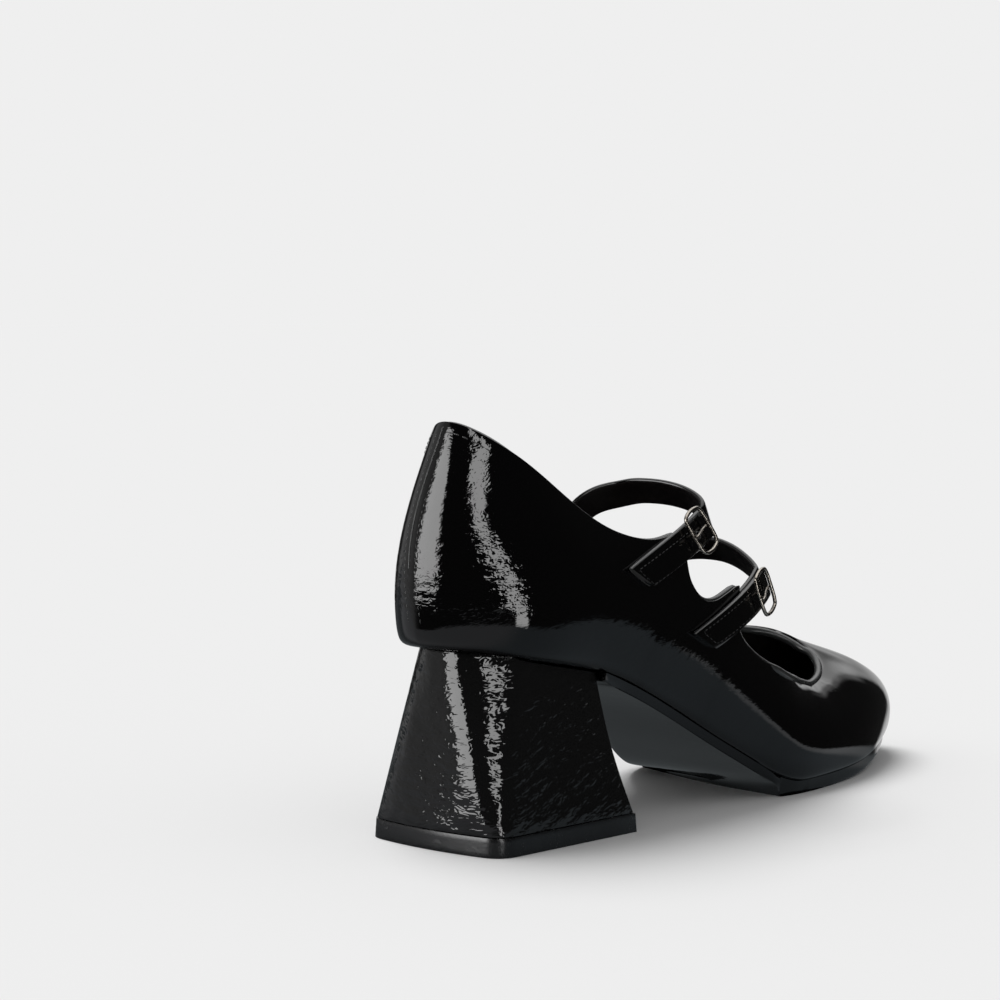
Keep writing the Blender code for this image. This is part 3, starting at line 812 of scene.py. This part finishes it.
class Finishes:
    """Every finish of the shoe, built once."""

    def __init__(self) -> None:
        """Build the materials."""
        throat = (Spot(-0.034, -0.0205, 0.037, 0.0105, 1.6), Spot(-0.0265, -0.0575, 0.030, 0.008, 1.3),
                  Spot(-0.0353, 0.0085, 0.0535, 0.006, 1.0))
        self.patent = PatentFinish("patent_crinkled", spots=throat, zoned=True).build()
        # The heel's base is lighter than the upper's as a painted reflection: it stands in for the grey
        # that the heel's sides mirror.
        self.heel = PatentFinish("patent_heel", Crinkle.HEEL, (0.0058, 0.0058, 0.0059),
                                 stretch=0.4).build()
        self.strap = PatentFinish("patent_strap", Crinkle.FAINT, roughness=0.16).build()
        # The rolled topline's base is a lighter grey than the upper's patent: a painted sheen for the grey
        # band along the fold.
        self.fold = PatentFinish("patent_fold", Crinkle.FAINT, (0.026, 0.027, 0.027), 0.26).build()
        # The shell's lining is the straps' lining leather made several times lighter: painted light that
        # lifts the shaded inside of the shoe.
        self.lining = LeatherFinish("lining_leather_painted_lighter", (0.02, 0.017, 0.0165),
                                    (0.03, 0.026, 0.025)).build()
        self.strap_lining = LeatherFinish("strap_lining", (0.0045, 0.0035, 0.0035),
                                          (0.008, 0.0065, 0.006), shine=0.08).build()
        self.sock = LeatherFinish("sock_leather", (0.009, 0.008, 0.0075), (0.015, 0.013, 0.012),
                                  0.38).build()
        self.thread = LeatherFinish("thread", (0.03, 0.03, 0.03), (0.06, 0.06, 0.06), 0.35, 4000.0,
                                    shine=0.5).build()
        self.fine_thread = LeatherFinish("fine_thread", (0.01, 0.01, 0.01), (0.02, 0.02, 0.02), 0.35,
                                         4000.0, shine=0.4).build()
        # A pale finish: edge paint on the facing's edge and the hole's ring, and a painted highlight where
        # the tabs' cut faces look up or back.
        self.edge = ResinFinish("edge_paint_and_painted_highlight", (0.034, 0.034, 0.034), (0.07, 0.07, 0.07), 0.3).build()
        self.sole = PatentFinish("sole_patent", Crinkle.FAINT, roughness=0.07).build()
        self.lift = ResinFinish("lift_rubber", (0.005, 0.005, 0.0053), (0.011, 0.011, 0.0115),
                                0.24).build()
        self.wire = WireFinish("buckle_wire").build()


# ------------------------------------------------------------------------------ stitching
@dataclass(frozen=True)
class Thread:
    """A row of stitches laid on a surface."""

    radius: float = 0.24 * MM
    length: float = 2.1 * MM
    pitch: float = 2.9 * MM
    sink: float = 0.04 * MM

    def stitch(self) -> bpy.types.Object:
        """Make one stitch along X, its ends dipping into the leather.

        Returns:
            The stitch.
        """
        Bench.deselect()
        bpy.ops.mesh.primitive_uv_sphere_add(segments=6, ring_count=5, radius=1.0)
        piece = bpy.context.active_object
        with Bench.edit(piece):
            bpy.ops.transform.rotate(value=math.pi / 2, orient_axis="Y", center_override=(0, 0, 0))
            bpy.ops.transform.resize(value=(self.length / 2, self.radius, self.radius))
        return piece

    def sew(self, name: str, points: Sequence[Vector], facing: Facing) -> bpy.types.Object:
        """Lay stitches along an open line.

        Args:
            name: The new piece's name.
            points: The line, close to the surface.
            facing: Gives the surface's nearest point and its normal.

        Returns:
            One object with all the stitches of the row.
        """
        spots = resampled(points, self.pitch)
        model = self.stitch()
        copies = []
        for i, (spot, ahead) in enumerate(zip(spots, spots[1:])):
            middle, normal = facing((spot + ahead) / 2)
            along = ahead - spot
            along = (along - normal * along.dot(normal)).normalized()
            turn = Matrix((along, normal.cross(along), normal)).transposed().to_4x4()
            turn.translation = middle - normal * self.sink
            copy = bpy.data.objects.new(f"{name}_{i}", model.data.copy())
            copy.data.transform(turn)
            bpy.context.scene.collection.objects.link(copy)
            copies.append(copy)
        bpy.data.objects.remove(model)
        row = Bench.join(name, copies)
        Bench.smooth(row, 80)
        return row


# ------------------------------------------------------------------------------ the upper
@dataclass
class UpperShell:
    """The patent upper with its lining, folded topline, topline stitching and back seam."""

    finishes: Finishes
    sharp: float = 62.0
    edge_radius: float = 0.45 * MM
    rim_height: float = 50.0 * MM
    rim_step: float = 1.6 * MM
    fold_radius: float = 1.4 * MM
    fold_inset: float = 0.5 * MM
    fold_drop: float = 0.3 * MM
    fold_slimming: float = 0.24
    facing_reach: float = 3.2 * MM
    facing_drop: float = 4.2 * MM
    facing_lift: float = 0.1 * MM
    facing_waver: float = 0.25 * MM
    throat_end: float = -12.0 * MM
    collar_start: float = 66.0 * MM
    stitch_drop: float = 2.7 * MM
    seam_side: float = -1.8 * MM
    seam_bow: float = 2.2 * MM
    seam_middle: float = 91.0 * MM
    seam_half: float = 30.0 * MM
    ridge_radius: float = 0.27 * MM
    ridge_heights: tuple[float, float] = (82.0 * MM, 122.5 * MM)
    row_heights: tuple[float, float] = (66.0 * MM, 121.0 * MM)
    row_sides: tuple[float, float] = (-2.7 * MM, 2.3 * MM)
    shell: bpy.types.Object = field(init=False, default=None)
    rim: list[Vector] = field(init=False, default_factory=list)
    outward: list[Vector] = field(init=False, default_factory=list)

    def build(self) -> None:
        """Build every piece of the upper."""
        self.make_shell()
        self.make_fold()
        self.make_topline_stitches()
        self.make_back_seam()

    def make_shell(self) -> None:
        """Refine the wall, mark its lining side and find its top edge."""
        piece = Bench.copy_node("upper", "upper_shell")
        Bench.crease_sharp(piece, self.sharp)
        Bench.subdivide(piece)
        Bench.round_where(piece, self.sharp, self.edge_radius, lambda edge: not faces_down(edge))
        line_inside(piece, self.finishes.patent, self.finishes.lining)
        Bench.smooth(piece, 50)
        self.shell = Bench.dress(piece, None, "patent", "upper")
        self.find_rim()

    def follow_borders(self) -> Iterator[list[Vector]]:
        """Follow each border between the lining side and the outer side.

        Yields:
            The points of one border after another.
        """
        mesh = bmesh.new()
        mesh.from_mesh(self.shell.data)
        border = dict.fromkeys(
            edge for edge in mesh.edges if len(edge.link_faces) == 2
            and edge.link_faces[0].material_index != edge.link_faces[1].material_index)
        while border:
            edge = next(iter(border))
            del border[edge]
            line, vert = list(edge.verts), edge.verts[1]
            while onward := [other for other in vert.link_edges if other in border]:
                del border[onward[0]]
                vert = onward[0].other_vert(vert)
                line.append(vert)
            yield [vert.co.copy() for vert in line]
        mesh.free()

    def find_rim(self) -> None:
        """Smooth the longest high border to an even line round the opening."""
        best: list[Vector] = []
        for points in self.follow_borders():
            height = sum(point.z for point in points) / len(points)
            if height > self.rim_height and len(points) > len(best):
                best = points
        line = resampled(best, self.rim_step, True)
        for _ in range(3):
            line = [(line[i - 1] + point * 2 + line[(i + 1) % len(line)]) / 4
                    for i, point in enumerate(line)]
        self.rim = line
        middle = sum(line, Vector()) / len(line)
        self.outward = [Vector((point.x - middle.x, point.y - middle.y, 0.0)).normalized()
                        for point in line]
        log.info("rim: %d border points, %d on the line", len(best), len(line))

    def make_fold(self) -> None:
        """Fold the leather over the top edge in a soft roll, and end its facing inside the throat."""
        line = []
        for point, out in zip(self.rim, self.outward):
            front = share_of(point.y, -0.02, -0.04)
            line.append(point - out * self.fold_inset * front - Vector((0, 0, self.fold_drop)))

        def swell(point: Vector) -> float:
            """Return the roll's share of its full radius, less towards the heel."""
            return 1.0 - self.fold_slimming * share_of(point.y, -0.03, 0.08)

        roll = Bench.tube("topline_fold", line, self.fold_radius, True, 5, swell)
        Bench.dress(roll, self.finishes.fold, "patent")
        nearest, inner = nearest_on(self.shell), []
        for i, (point, out) in enumerate(zip(self.rim, self.outward)):
            if point.y < self.throat_end and i % 2:
                inside = point - out * self.facing_reach - Vector((0, 0, self.facing_drop))
                place, normal = nearest(inside)
                waver = Vector((0, 0, self.facing_waver * math.sin(i * 1.9)))
                inner.append(place + normal * self.facing_lift + waver)
        start = max(range(len(inner)), key=lambda i: (inner[i] - inner[i - 1]).length)
        facing = Bench.tube("facing_edge", inner[start:] + inner[:start], 0.5 * MM, False, 2)
        Bench.dress(facing, self.finishes.edge, "lining")

    def make_topline_stitches(self) -> None:
        """Sew the collar's fold down with one row below the edge, on the outside."""
        nearest = nearest_on(self.shell)
        line: list[Vector | None] = []
        for i, (point, out) in enumerate(zip(self.rim, self.outward)):
            if point.y < self.collar_start:
                line.append(None)
                continue
            along = (self.rim[(i + 1) % len(self.rim)] - self.rim[i - 1]).normalized()
            beside = point + out * 1.2 * MM
            _, normal = nearest(beside - Vector((0, 0, 1.5 * MM)))
            down = normal.cross(along)
            if down.z > 0:
                down = -down
            place, _ = nearest(beside + down * self.stitch_drop)
            line.append(place)
        start = next(i for i, place in enumerate(line) if place and not line[i - 1])
        collar = [place for place in line[start:] + line[:start] if place]
        row = Thread().sew("topline_stitches", collar, nearest)
        Bench.dress(row, self.finishes.thread, "patent")

    def seam_line(self, aside: float, low: float, high: float) -> list[Vector]:
        """Return points down the back of the counter.

        Args:
            aside: Distance from the seam, in metres, positive towards the inner side.
            low: Height of the lower end.
            high: Height of the upper end.

        Returns:
            Points on the counter from high to low.
        """
        line = []
        steps = 30
        for k in range(steps + 1):
            z = high + (low - high) * k / steps
            share = min(1.0, abs(z - self.seam_middle) / self.seam_half)
            bow = self.seam_bow * (1.0 + math.cos(math.pi * share)) / 2
            spot = Vector((self.seam_side + bow + aside, BEHIND, z))
            hit, place, _, _ = self.shell.ray_cast(spot, Vector((0, -1, 0)))
            if hit:
                line.append(place)
        return line

    def make_back_seam(self) -> None:
        """Close the back: a fine raised edge down the seam and a row of stitches on either side."""
        middle = self.seam_line(0.0, *self.ridge_heights)
        ridge = Bench.tube("back_seam_edge", middle, self.ridge_radius, False, 3)
        Bench.dress(ridge, self.finishes.thread, "patent")
        thread, nearest = Thread(0.17 * MM, 1.3 * MM, 2.0 * MM), nearest_on(self.shell)
        rows = [thread.sew(f"back_seam_row_{side}", self.seam_line(aside, *self.row_heights), nearest)
                for side, aside in enumerate(self.row_sides)]
        Bench.dress(Bench.join("back_seam_stitches", rows), self.finishes.thread, "patent")


# ------------------------------------------------------------------------------ the sole
@dataclass
class SoleUnit:
    """Insole, outsole, wrapped heel and top lift."""

    finishes: Finishes
    tuck: float = 0.35 * MM
    undercut: float = 2.0 * MM
    lift_edge: float = 1.35 * MM
    heel_middle: float = -3.4 * MM
    heel_foot: float = 7.5 * MM
    heel_rear: float = 90.0 * MM

    def build(self) -> None:
        """Build every piece under the foot."""
        sock = Bench.refine("insole", "sock", 2, 50, 0.3 * MM)
        Bench.dress(sock, self.finishes.sock, "lining", "insole")
        outsole = Bench.copy_node("outsole", "outsole_plate")
        self.tuck_under(outsole)
        Bench.crease_sharp(outsole, 60)
        Bench.subdivide(outsole)
        Bench.smooth(outsole, 50)
        Bench.dress(outsole, self.finishes.sole, "sole", "outsole")
        heel = Bench.copy_node("heel_block", "heel_cover")
        self.soften_corners(heel)
        Bench.crease_sharp(heel, 34)
        Bench.subdivide(heel)
        Bench.round_sharp(heel, 34, 0.5 * MM)
        Bench.smooth(heel)
        Bench.dress(heel, self.finishes.heel, "heel_patent", "heel_block")
        lift = Bench.refine("top_lift", "heel_tip", 2, 34, 0.35 * MM)
        Bench.dress(lift, self.finishes.lift, "lift", "top_lift")

    def tuck_under(self, outsole: bpy.types.Object) -> None:
        """Draw the outsole's edge in under the upper's margin, its lower corner furthest at the arch.

        Args:
            outsole: The plate, before it is subdivided.
        """
        normals = [vertex.normal.copy() for vertex in outsole.data.vertices]
        for vertex, normal in zip(outsole.data.vertices, normals):
            share = share_of(math.hypot(normal.x, normal.y), 0.35, 0.2)
            tread = share_of(vertex.co.y, -0.02, -0.03)
            low = normal.z <= -0.25
            pull = self.undercut - (self.undercut - self.tuck) * tread if low else self.tuck
            vertex.co.x -= normal.x * pull * share
            vertex.co.y -= normal.y * pull * share
            if normal.z > 0.2:
                vertex.co.z += self.lift_edge * share

    def soften_corners(self, heel: bpy.types.Object) -> None:
        """Flatten the heel's back and cut its corners to broad, slightly bowed faces.

        Args:
            heel: The block, before it is subdivided.
        """
        for vertex in heel.data.vertices:
            aside, height = vertex.co.x - self.heel_middle, vertex.co.z
            if height < self.heel_foot or vertex.co.y < self.heel_rear:
                continue
            back = 0.1181 - 0.087 * height
            start = 0.0225 - 0.325 * height
            reach = 0.0262 - 0.09 * height - start
            beyond = max(0.0, abs(aside) - start)
            target = back - 0.05 * aside - 0.36 * beyond - 0.5 * beyond**2 / reach
            if target < vertex.co.y or beyond < 0.6 * reach:
                vertex.co.y = target


# ------------------------------------------------------------------------------ the straps
class Place(Enum):
    """The straps: name, the ends of the tab's middle line as (y, z) in metres, and its cut end's slant."""

    REAR = ("rear", (0.0595, 0.0764), (0.0203, 0.0894), 7.5 * MM)
    FRONT = ("front", (0.0289, 0.0554), (-0.0091, 0.0690), 8.5 * MM)


@dataclass
class StrapSet:
    """One strap with its stitched tab, buckle frame and prong, and the rear strap's punched hole."""

    finishes: Finishes
    place: Place
    half_width: float = 4.8 * MM
    inset: float = 1.5 * MM
    sewn: float = 0.7
    settled: float = 0.25 * MM
    sunk: float = 0.45 * MM
    hole_share: float = 0.8
    hole_radius: float = 1.15 * MM
    hole_wire: float = 0.22 * MM
    tab: bpy.types.Object = field(init=False, default=None)
    strap: bpy.types.Object = field(init=False, default=None)

    def build(self) -> None:
        """Build every piece of this strap."""
        tag = self.place.value[0]
        strap = Bench.refine("strap_" + tag, "strap_band_" + tag, 1, 50)
        line_inside(strap, self.finishes.strap, self.finishes.strap_lining)
        self.strap = Bench.dress(strap, None, "strap_patent", "strap_" + tag)
        self.tab = Bench.refine("tab_" + tag, "tab_leather_" + tag, 2, 60)
        self.settle_tab()
        for finish in (self.finishes.strap, self.finishes.edge):
            self.tab.data.materials.append(finish)
        # Painted highlight: only the cut faces that look up or back take the pale edge finish, for the
        # light line along the tab's top; the other faces stay patent.
        for face in self.tab.data.polygons:
            cut = max(face.normal.y, face.normal.z) > 0.5 and face.center.x < -0.028
            face.material_index = int(cut)
        Bench.dress(self.tab, None, "strap_patent", "tab_" + tag)
        buckle = Bench.refine("buckle_" + tag, "buckle_frame_" + tag, 1, 89)
        Bench.dress(buckle, self.finishes.wire, "buckle_metal", "buckle_" + tag)
        prong = Bench.refine("prong_" + tag, "buckle_prong_" + tag, 1, 89)
        Bench.dress(prong, self.finishes.wire, "buckle_metal", "prong_" + tag)
        self.make_stitches()
        if self.place is Place.REAR:
            self.make_hole()

    def settle_tab(self) -> None:
        """Lay the tab's sewn end down against the upper."""
        _, start, end, _ = self.place.value
        length = math.hypot(end[0] - start[0], end[1] - start[1])
        for vertex in self.tab.data.vertices:
            share = math.hypot(vertex.co.y - start[0], vertex.co.z - start[1]) / length
            vertex.co.x += self.settled + self.sunk * max(0.0, 1.0 - share / self.sewn)

    def make_hole(self) -> None:
        """Ring the punched hole that shows inside the buckle frame."""
        _, start, end, _ = self.place.value
        y = start[0] + (end[0] - start[0]) * self.hole_share
        z = start[1] + (end[1] - start[1]) * self.hole_share + 0.8 * MM
        aim = Vector((BESIDE, y, z))
        hits = [piece.ray_cast(aim, Vector((1, 0, 0))) for piece in (self.strap, self.tab)]
        _, place, normal, _ = min((hit for hit in hits if hit[0]), key=lambda hit: hit[1].x)
        Bench.deselect()
        bpy.ops.mesh.primitive_torus_add(major_radius=self.hole_radius, minor_radius=self.hole_wire,
                                         major_segments=20, minor_segments=8)
        ring = bpy.context.active_object
        ring.name = "punched_hole_" + self.place.value[0]
        turn = normal.to_track_quat("Z", "Y").to_matrix().to_4x4()
        ring.matrix_world = Matrix.Translation(place) @ turn
        Bench.settle(ring)
        Bench.smooth(ring, 80)
        Bench.dress(ring, self.finishes.edge, "strap_patent")

    def side_point(self, share: float, across: float) -> Vector:
        """Find a point on the tab's outer face.

        Args:
            share: How far along the tab's middle line, 0 at the cut end.
            across: Distance across that line, in metres, positive upwards.

        Returns:
            The point, or one beside the shoe where the tab is missed.
        """
        _, start, end, slant = self.place.value
        along = Vector((0.0, end[0] - start[0], end[1] - start[1]))
        up = Vector((0.0, -along.z, along.y)).normalized()
        up = -up if up.z < 0 else up
        lead = -across / self.half_width * slant / 2 * max(0.0, 1.0 - share / self.sewn)
        spot = Vector((BESIDE, start[0], start[1])) + along * share + up * across
        spot += along.normalized() * lead
        hit, place, _, _ = self.tab.ray_cast(spot, Vector((1, 0, 0)))
        return place if hit else Vector((-34.0 * MM, spot.y, spot.z))

    def make_stitches(self) -> None:
        """Sew the tab down with a row inside its edges, round its cut end."""
        reach = self.half_width - self.inset
        first, run, steps = 0.045, 0.66, 20
        shares = [step / steps * run + first for step in range(steps + 1)]
        upper = [self.side_point(share, reach) for share in reversed(shares)]
        end = [self.side_point(first, reach * (1 - k / 3)) for k in range(1, 6)]
        lower = [self.side_point(share, -reach) for share in shares]
        thread, name = Thread(0.2 * MM, 1.5 * MM, 2.1 * MM), "tab_stitches_" + self.place.value[0]
        row = thread.sew(name, upper + end + lower, nearest_on(self.tab))
        Bench.dress(row, self.finishes.fine_thread, "strap_patent")


# ------------------------------------------------------------------------------ the studio
@dataclass(frozen=True)
class Panel:
    """A soft box or wall of the room, in degrees.

    Attributes:
        turn: Where its middle stands, clockwise from +Y seen from above.
        half: Half its width.
        low: Its lower edge, above the horizon.
        high: Its upper edge.
        glow: How bright it is.
        edge: How soft its edges are.
        lean: How far its middle moves for each degree up, between lean_low and lean_high.
        lean_low: Where the lean starts.
        lean_high: Where it ends.
        taper: How much narrower each half gets for each degree up.
    """

    turn: float
    half: float
    low: float
    high: float
    glow: float
    edge: float = 2.0
    lean: float = 0.0
    lean_low: float = 0.0
    lean_high: float = 0.0
    taper: float = 0.0

    def build(self, shader: Shader, turn: bpy.types.NodeSocket,
              rise: bpy.types.NodeSocket) -> bpy.types.NodeSocket:
        """Work out the panel's glow in a direction.

        Args:
            shader: The world's Shader.
            turn: The direction's turn, in degrees.
            rise: Its height over the horizon, in degrees.

        Returns:
            The glow.
        """
        held = shader.add("Clamp", {"Value": rise, "Min": self.lean_low, "Max": self.lean_high})
        centre = shader.math("MULTIPLY_ADD", held.outputs[0], self.lean, self.turn)
        apart = shader.math("WRAP", shader.math("SUBTRACT", turn, centre), 180.0, -180.0)
        apart = shader.math("ABSOLUTE", apart)
        if self.taper:
            apart = shader.math("MULTIPLY_ADD", rise, self.taper, apart)
        inside = shader.ramp(apart, self.half - self.edge, self.half + self.edge, self.glow, 0.0)
        over = shader.ramp(rise, self.low - self.edge, self.low + self.edge)
        under = shader.ramp(rise, self.high - self.edge, self.high + self.edge, 1.0, 0.0)
        return shader.math("MULTIPLY", shader.math("MULTIPLY", over, under), inside)


PANELS = (
    Panel(turn=21.0, half=16.5, low=-6.0, high=44.0, glow=7.0),
    Panel(turn=-63.5, half=4.7, low=-29.0, high=60.0, glow=6.5, edge=1.0, lean=0.8, lean_low=-26.0,
          lean_high=29.0, taper=0.025),
    Panel(turn=72.0, half=34.0, low=-75.0, high=52.0, glow=0.36, edge=8.0),
    Panel(turn=146.0, half=18.0, low=-30.0, high=32.0, glow=0.7, edge=3.0),
    Panel(turn=156.0, half=15.0, low=17.0, high=36.0, glow=0.4, edge=4.0),
    Panel(turn=142.0, half=38.0, low=34.0, high=64.0, glow=1.3, edge=5.0),
)


@dataclass
class Studio:
    """Pale floor, soft light and the camera."""

    pale: float = 0.863
    paper: float = 0.8
    ambient: float = 0.45
    room_glow: float = 0.022
    ceiling_glow: float = 1.8
    ceiling_way: tuple[float, float, float] = (0.16, -0.34, 0.93)
    sun_height: float = 70.0
    sun_turn: float = 86.0
    sun_angle: float = 40.0
    floor_reach: float = 0.15
    # Painted reflection: the colours that the floor glows with in the shoe's shine. The arch colour is a
    # painted shadow under the shoe.
    mirrored_floor_glow: Colour = (0.225, 0.26, 0.285)
    mirrored_forepart_glow: Colour = (0.62, 0.64, 0.66)
    mirrored_arch_shadow: Colour = (0.095, 0.105, 0.11)
    mirrored_rear_glow: Colour = (0.40, 0.41, 0.43)
    lens: float = 93.6
    eye: Vector = field(default_factory=lambda: Vector((-0.5144, 0.6635, 0.1549)))
    yaw: float = math.radians(221.5)
    pitch: float = math.radians(4.0668)

    def build(self) -> None:
        """Build the stage."""
        bpy.context.scene.view_settings.view_transform = "Standard"
        self.make_floor()
        self.make_world()
        self.make_sun()
        self.make_camera()

    def make_floor(self) -> None:
        """Make the paper floor; mirrored in the shoe it is a painted reflection, not lit paper: it glows
        greyer, with a painted shadow under the arch, and ends beside the shoe.
        """
        Bench.deselect()
        bpy.ops.mesh.primitive_plane_add(size=60.0, location=(0, 0, -0.0001))
        floor = bpy.context.active_object
        floor.name = "floor"
        material, shader, skin = new_material("floor_paper")
        skin.inputs["Roughness"].default_value = 1.0
        skin.inputs["Specular IOR Level"].default_value = 0.0
        mirrored = shader.add("LightPath").outputs["Is Glossy Ray"]
        place = shader.add("SeparateXYZ", {0: shader.add("TexCoord").outputs["Object"]})
        x, y = place.outputs["X"], place.outputs["Y"]
        aside = shader.math("POWER", shader.math("MINIMUM", x, 0.0), 2.0)
        behind = shader.math("MAXIMUM", shader.math("SUBTRACT", y, 0.1), 0.0)
        behind = shader.math("POWER", behind, 2.0)
        apart = shader.math("SQRT", shader.math("ADD", aside, behind))
        near = shader.ramp(apart, self.floor_reach - 0.006, self.floor_reach + 0.006, 1.0, 0.0)
        ahead = shader.ramp(y, -0.118, -0.104)
        # Painted reflection: to glossy rays the floor glows, lighter ahead of the toe and behind the heel,
        # and darker under the arch as a painted shadow.
        mirrored_glow = self.mirrored_floor_glow
        for share, colour in ((shader.ramp(y, -0.076, -0.092), self.mirrored_forepart_glow),
                              (shader.ramp(x, -0.065, -0.015), self.mirrored_arch_shadow),
                              (shader.ramp(y, 0.105, 0.15), self.mirrored_rear_glow)):
            mirrored_glow = shader.blend(share, mirrored_glow, colour)
        paper = shader.blend(mirrored, (self.paper,) * 3, (0.0, 0.0, 0.0))
        shader.link(paper, skin, "Base Color")
        shader.link(mirrored_glow, skin, "Emission Color")
        shader.link(mirrored, skin, "Emission Strength")
        outside = shader.math("SUBTRACT", 1.0, shader.math("MULTIPLY", near, ahead))
        hidden = shader.math("MULTIPLY", outside, mirrored)
        shader.link(shader.math("SUBTRACT", 1.0, hidden), skin, "Alpha")
        floor.data.materials.append(material)

    def make_world(self) -> None:
        """Make the room: even to the camera and the floor, soft boxes and walls to the shine."""
        world = bpy.data.worlds.new("room")
        bpy.context.scene.world = world
        world.use_nodes = True
        world.cycles.sampling_method = "NONE"
        shader = Shader(world.node_tree)
        direction = shader.add("TexCoord").outputs["Generated"]
        toward = shader.add("SeparateXYZ", {0: direction})
        turn = shader.math("DEGREES", shader.math("ARCTAN2", toward.outputs["X"], toward.outputs["Y"]))
        rise = shader.math("DEGREES", shader.math("ARCSINE", toward.outputs["Z"]))
        glow = self.room_glow
        for panel in PANELS:
            glow = shader.math("ADD", panel.build(shader, turn, rise), glow)
        overhead = shader.add("VectorMath", {0: direction, 1: self.ceiling_way}, operation="DOT_PRODUCT")
        ceiling = shader.ramp(overhead.outputs["Value"], 0.80, 0.88, 0.0, self.ceiling_glow)
        glow = shader.math("MAXIMUM", glow, ceiling)
        path = shader.add("LightPath")
        for ray, level in (("Is Diffuse Ray", self.ambient), ("Is Camera Ray", self.pale)):
            glow = shader.add("Mix", {"Factor": path.outputs[ray], "A": glow, "B": level},
                              data_type="FLOAT").outputs["Result"]
        shader.link(glow, world.node_tree.nodes["Background"], "Color")

    def make_sun(self) -> None:
        """Hang the broad light that draws the floor's shadows."""
        data = bpy.data.lights.new("sky", "SUN")
        slope, turn = math.radians(self.sun_height), math.radians(self.sun_turn)
        data.energy = (self.pale / self.paper - self.ambient) * math.pi / math.sin(slope)
        data.angle = math.radians(self.sun_angle)
        light = bpy.data.objects.new("sky", data)
        from_light = Vector((math.sin(turn) * math.cos(slope), math.cos(turn) * math.cos(slope),
                             math.sin(slope)))
        light.rotation_euler = from_light.to_track_quat("Z", "Y").to_euler()
        light.visible_glossy = False
        bpy.context.scene.collection.objects.link(light)

    def make_camera(self) -> None:
        """Place the camera behind the heel, on the buckle side, low over the floor."""
        data = bpy.data.cameras.new("camera")
        data.lens, data.sensor_width, data.clip_start = self.lens, 36.0, 0.01
        camera = bpy.data.objects.new("camera", data)
        level = math.cos(self.pitch)
        back = Vector((math.sin(self.yaw) * level, -math.cos(self.yaw) * level, math.sin(self.pitch)))
        right = Vector((math.cos(self.yaw), math.sin(self.yaw), 0.0))
        camera.matrix_world = Matrix((right, back.cross(right), back)).transposed().to_4x4()
        camera.matrix_world.translation = self.eye
        bpy.context.scene.collection.objects.link(camera)
        bpy.context.scene.camera = camera


def main() -> None:
    """Build the shoe and its studio, logging each piece's face count."""
    logging.basicConfig(level=logging.INFO, format="%(name)s: %(message)s")
    finishes = Finishes()
    UpperShell(finishes).build()
    SoleUnit(finishes).build()
    for place in Place:
        StrapSet(finishes, place).build()
    Studio().build()
    bpy.context.view_layer.update()


if __name__ == "__main__":
    main()
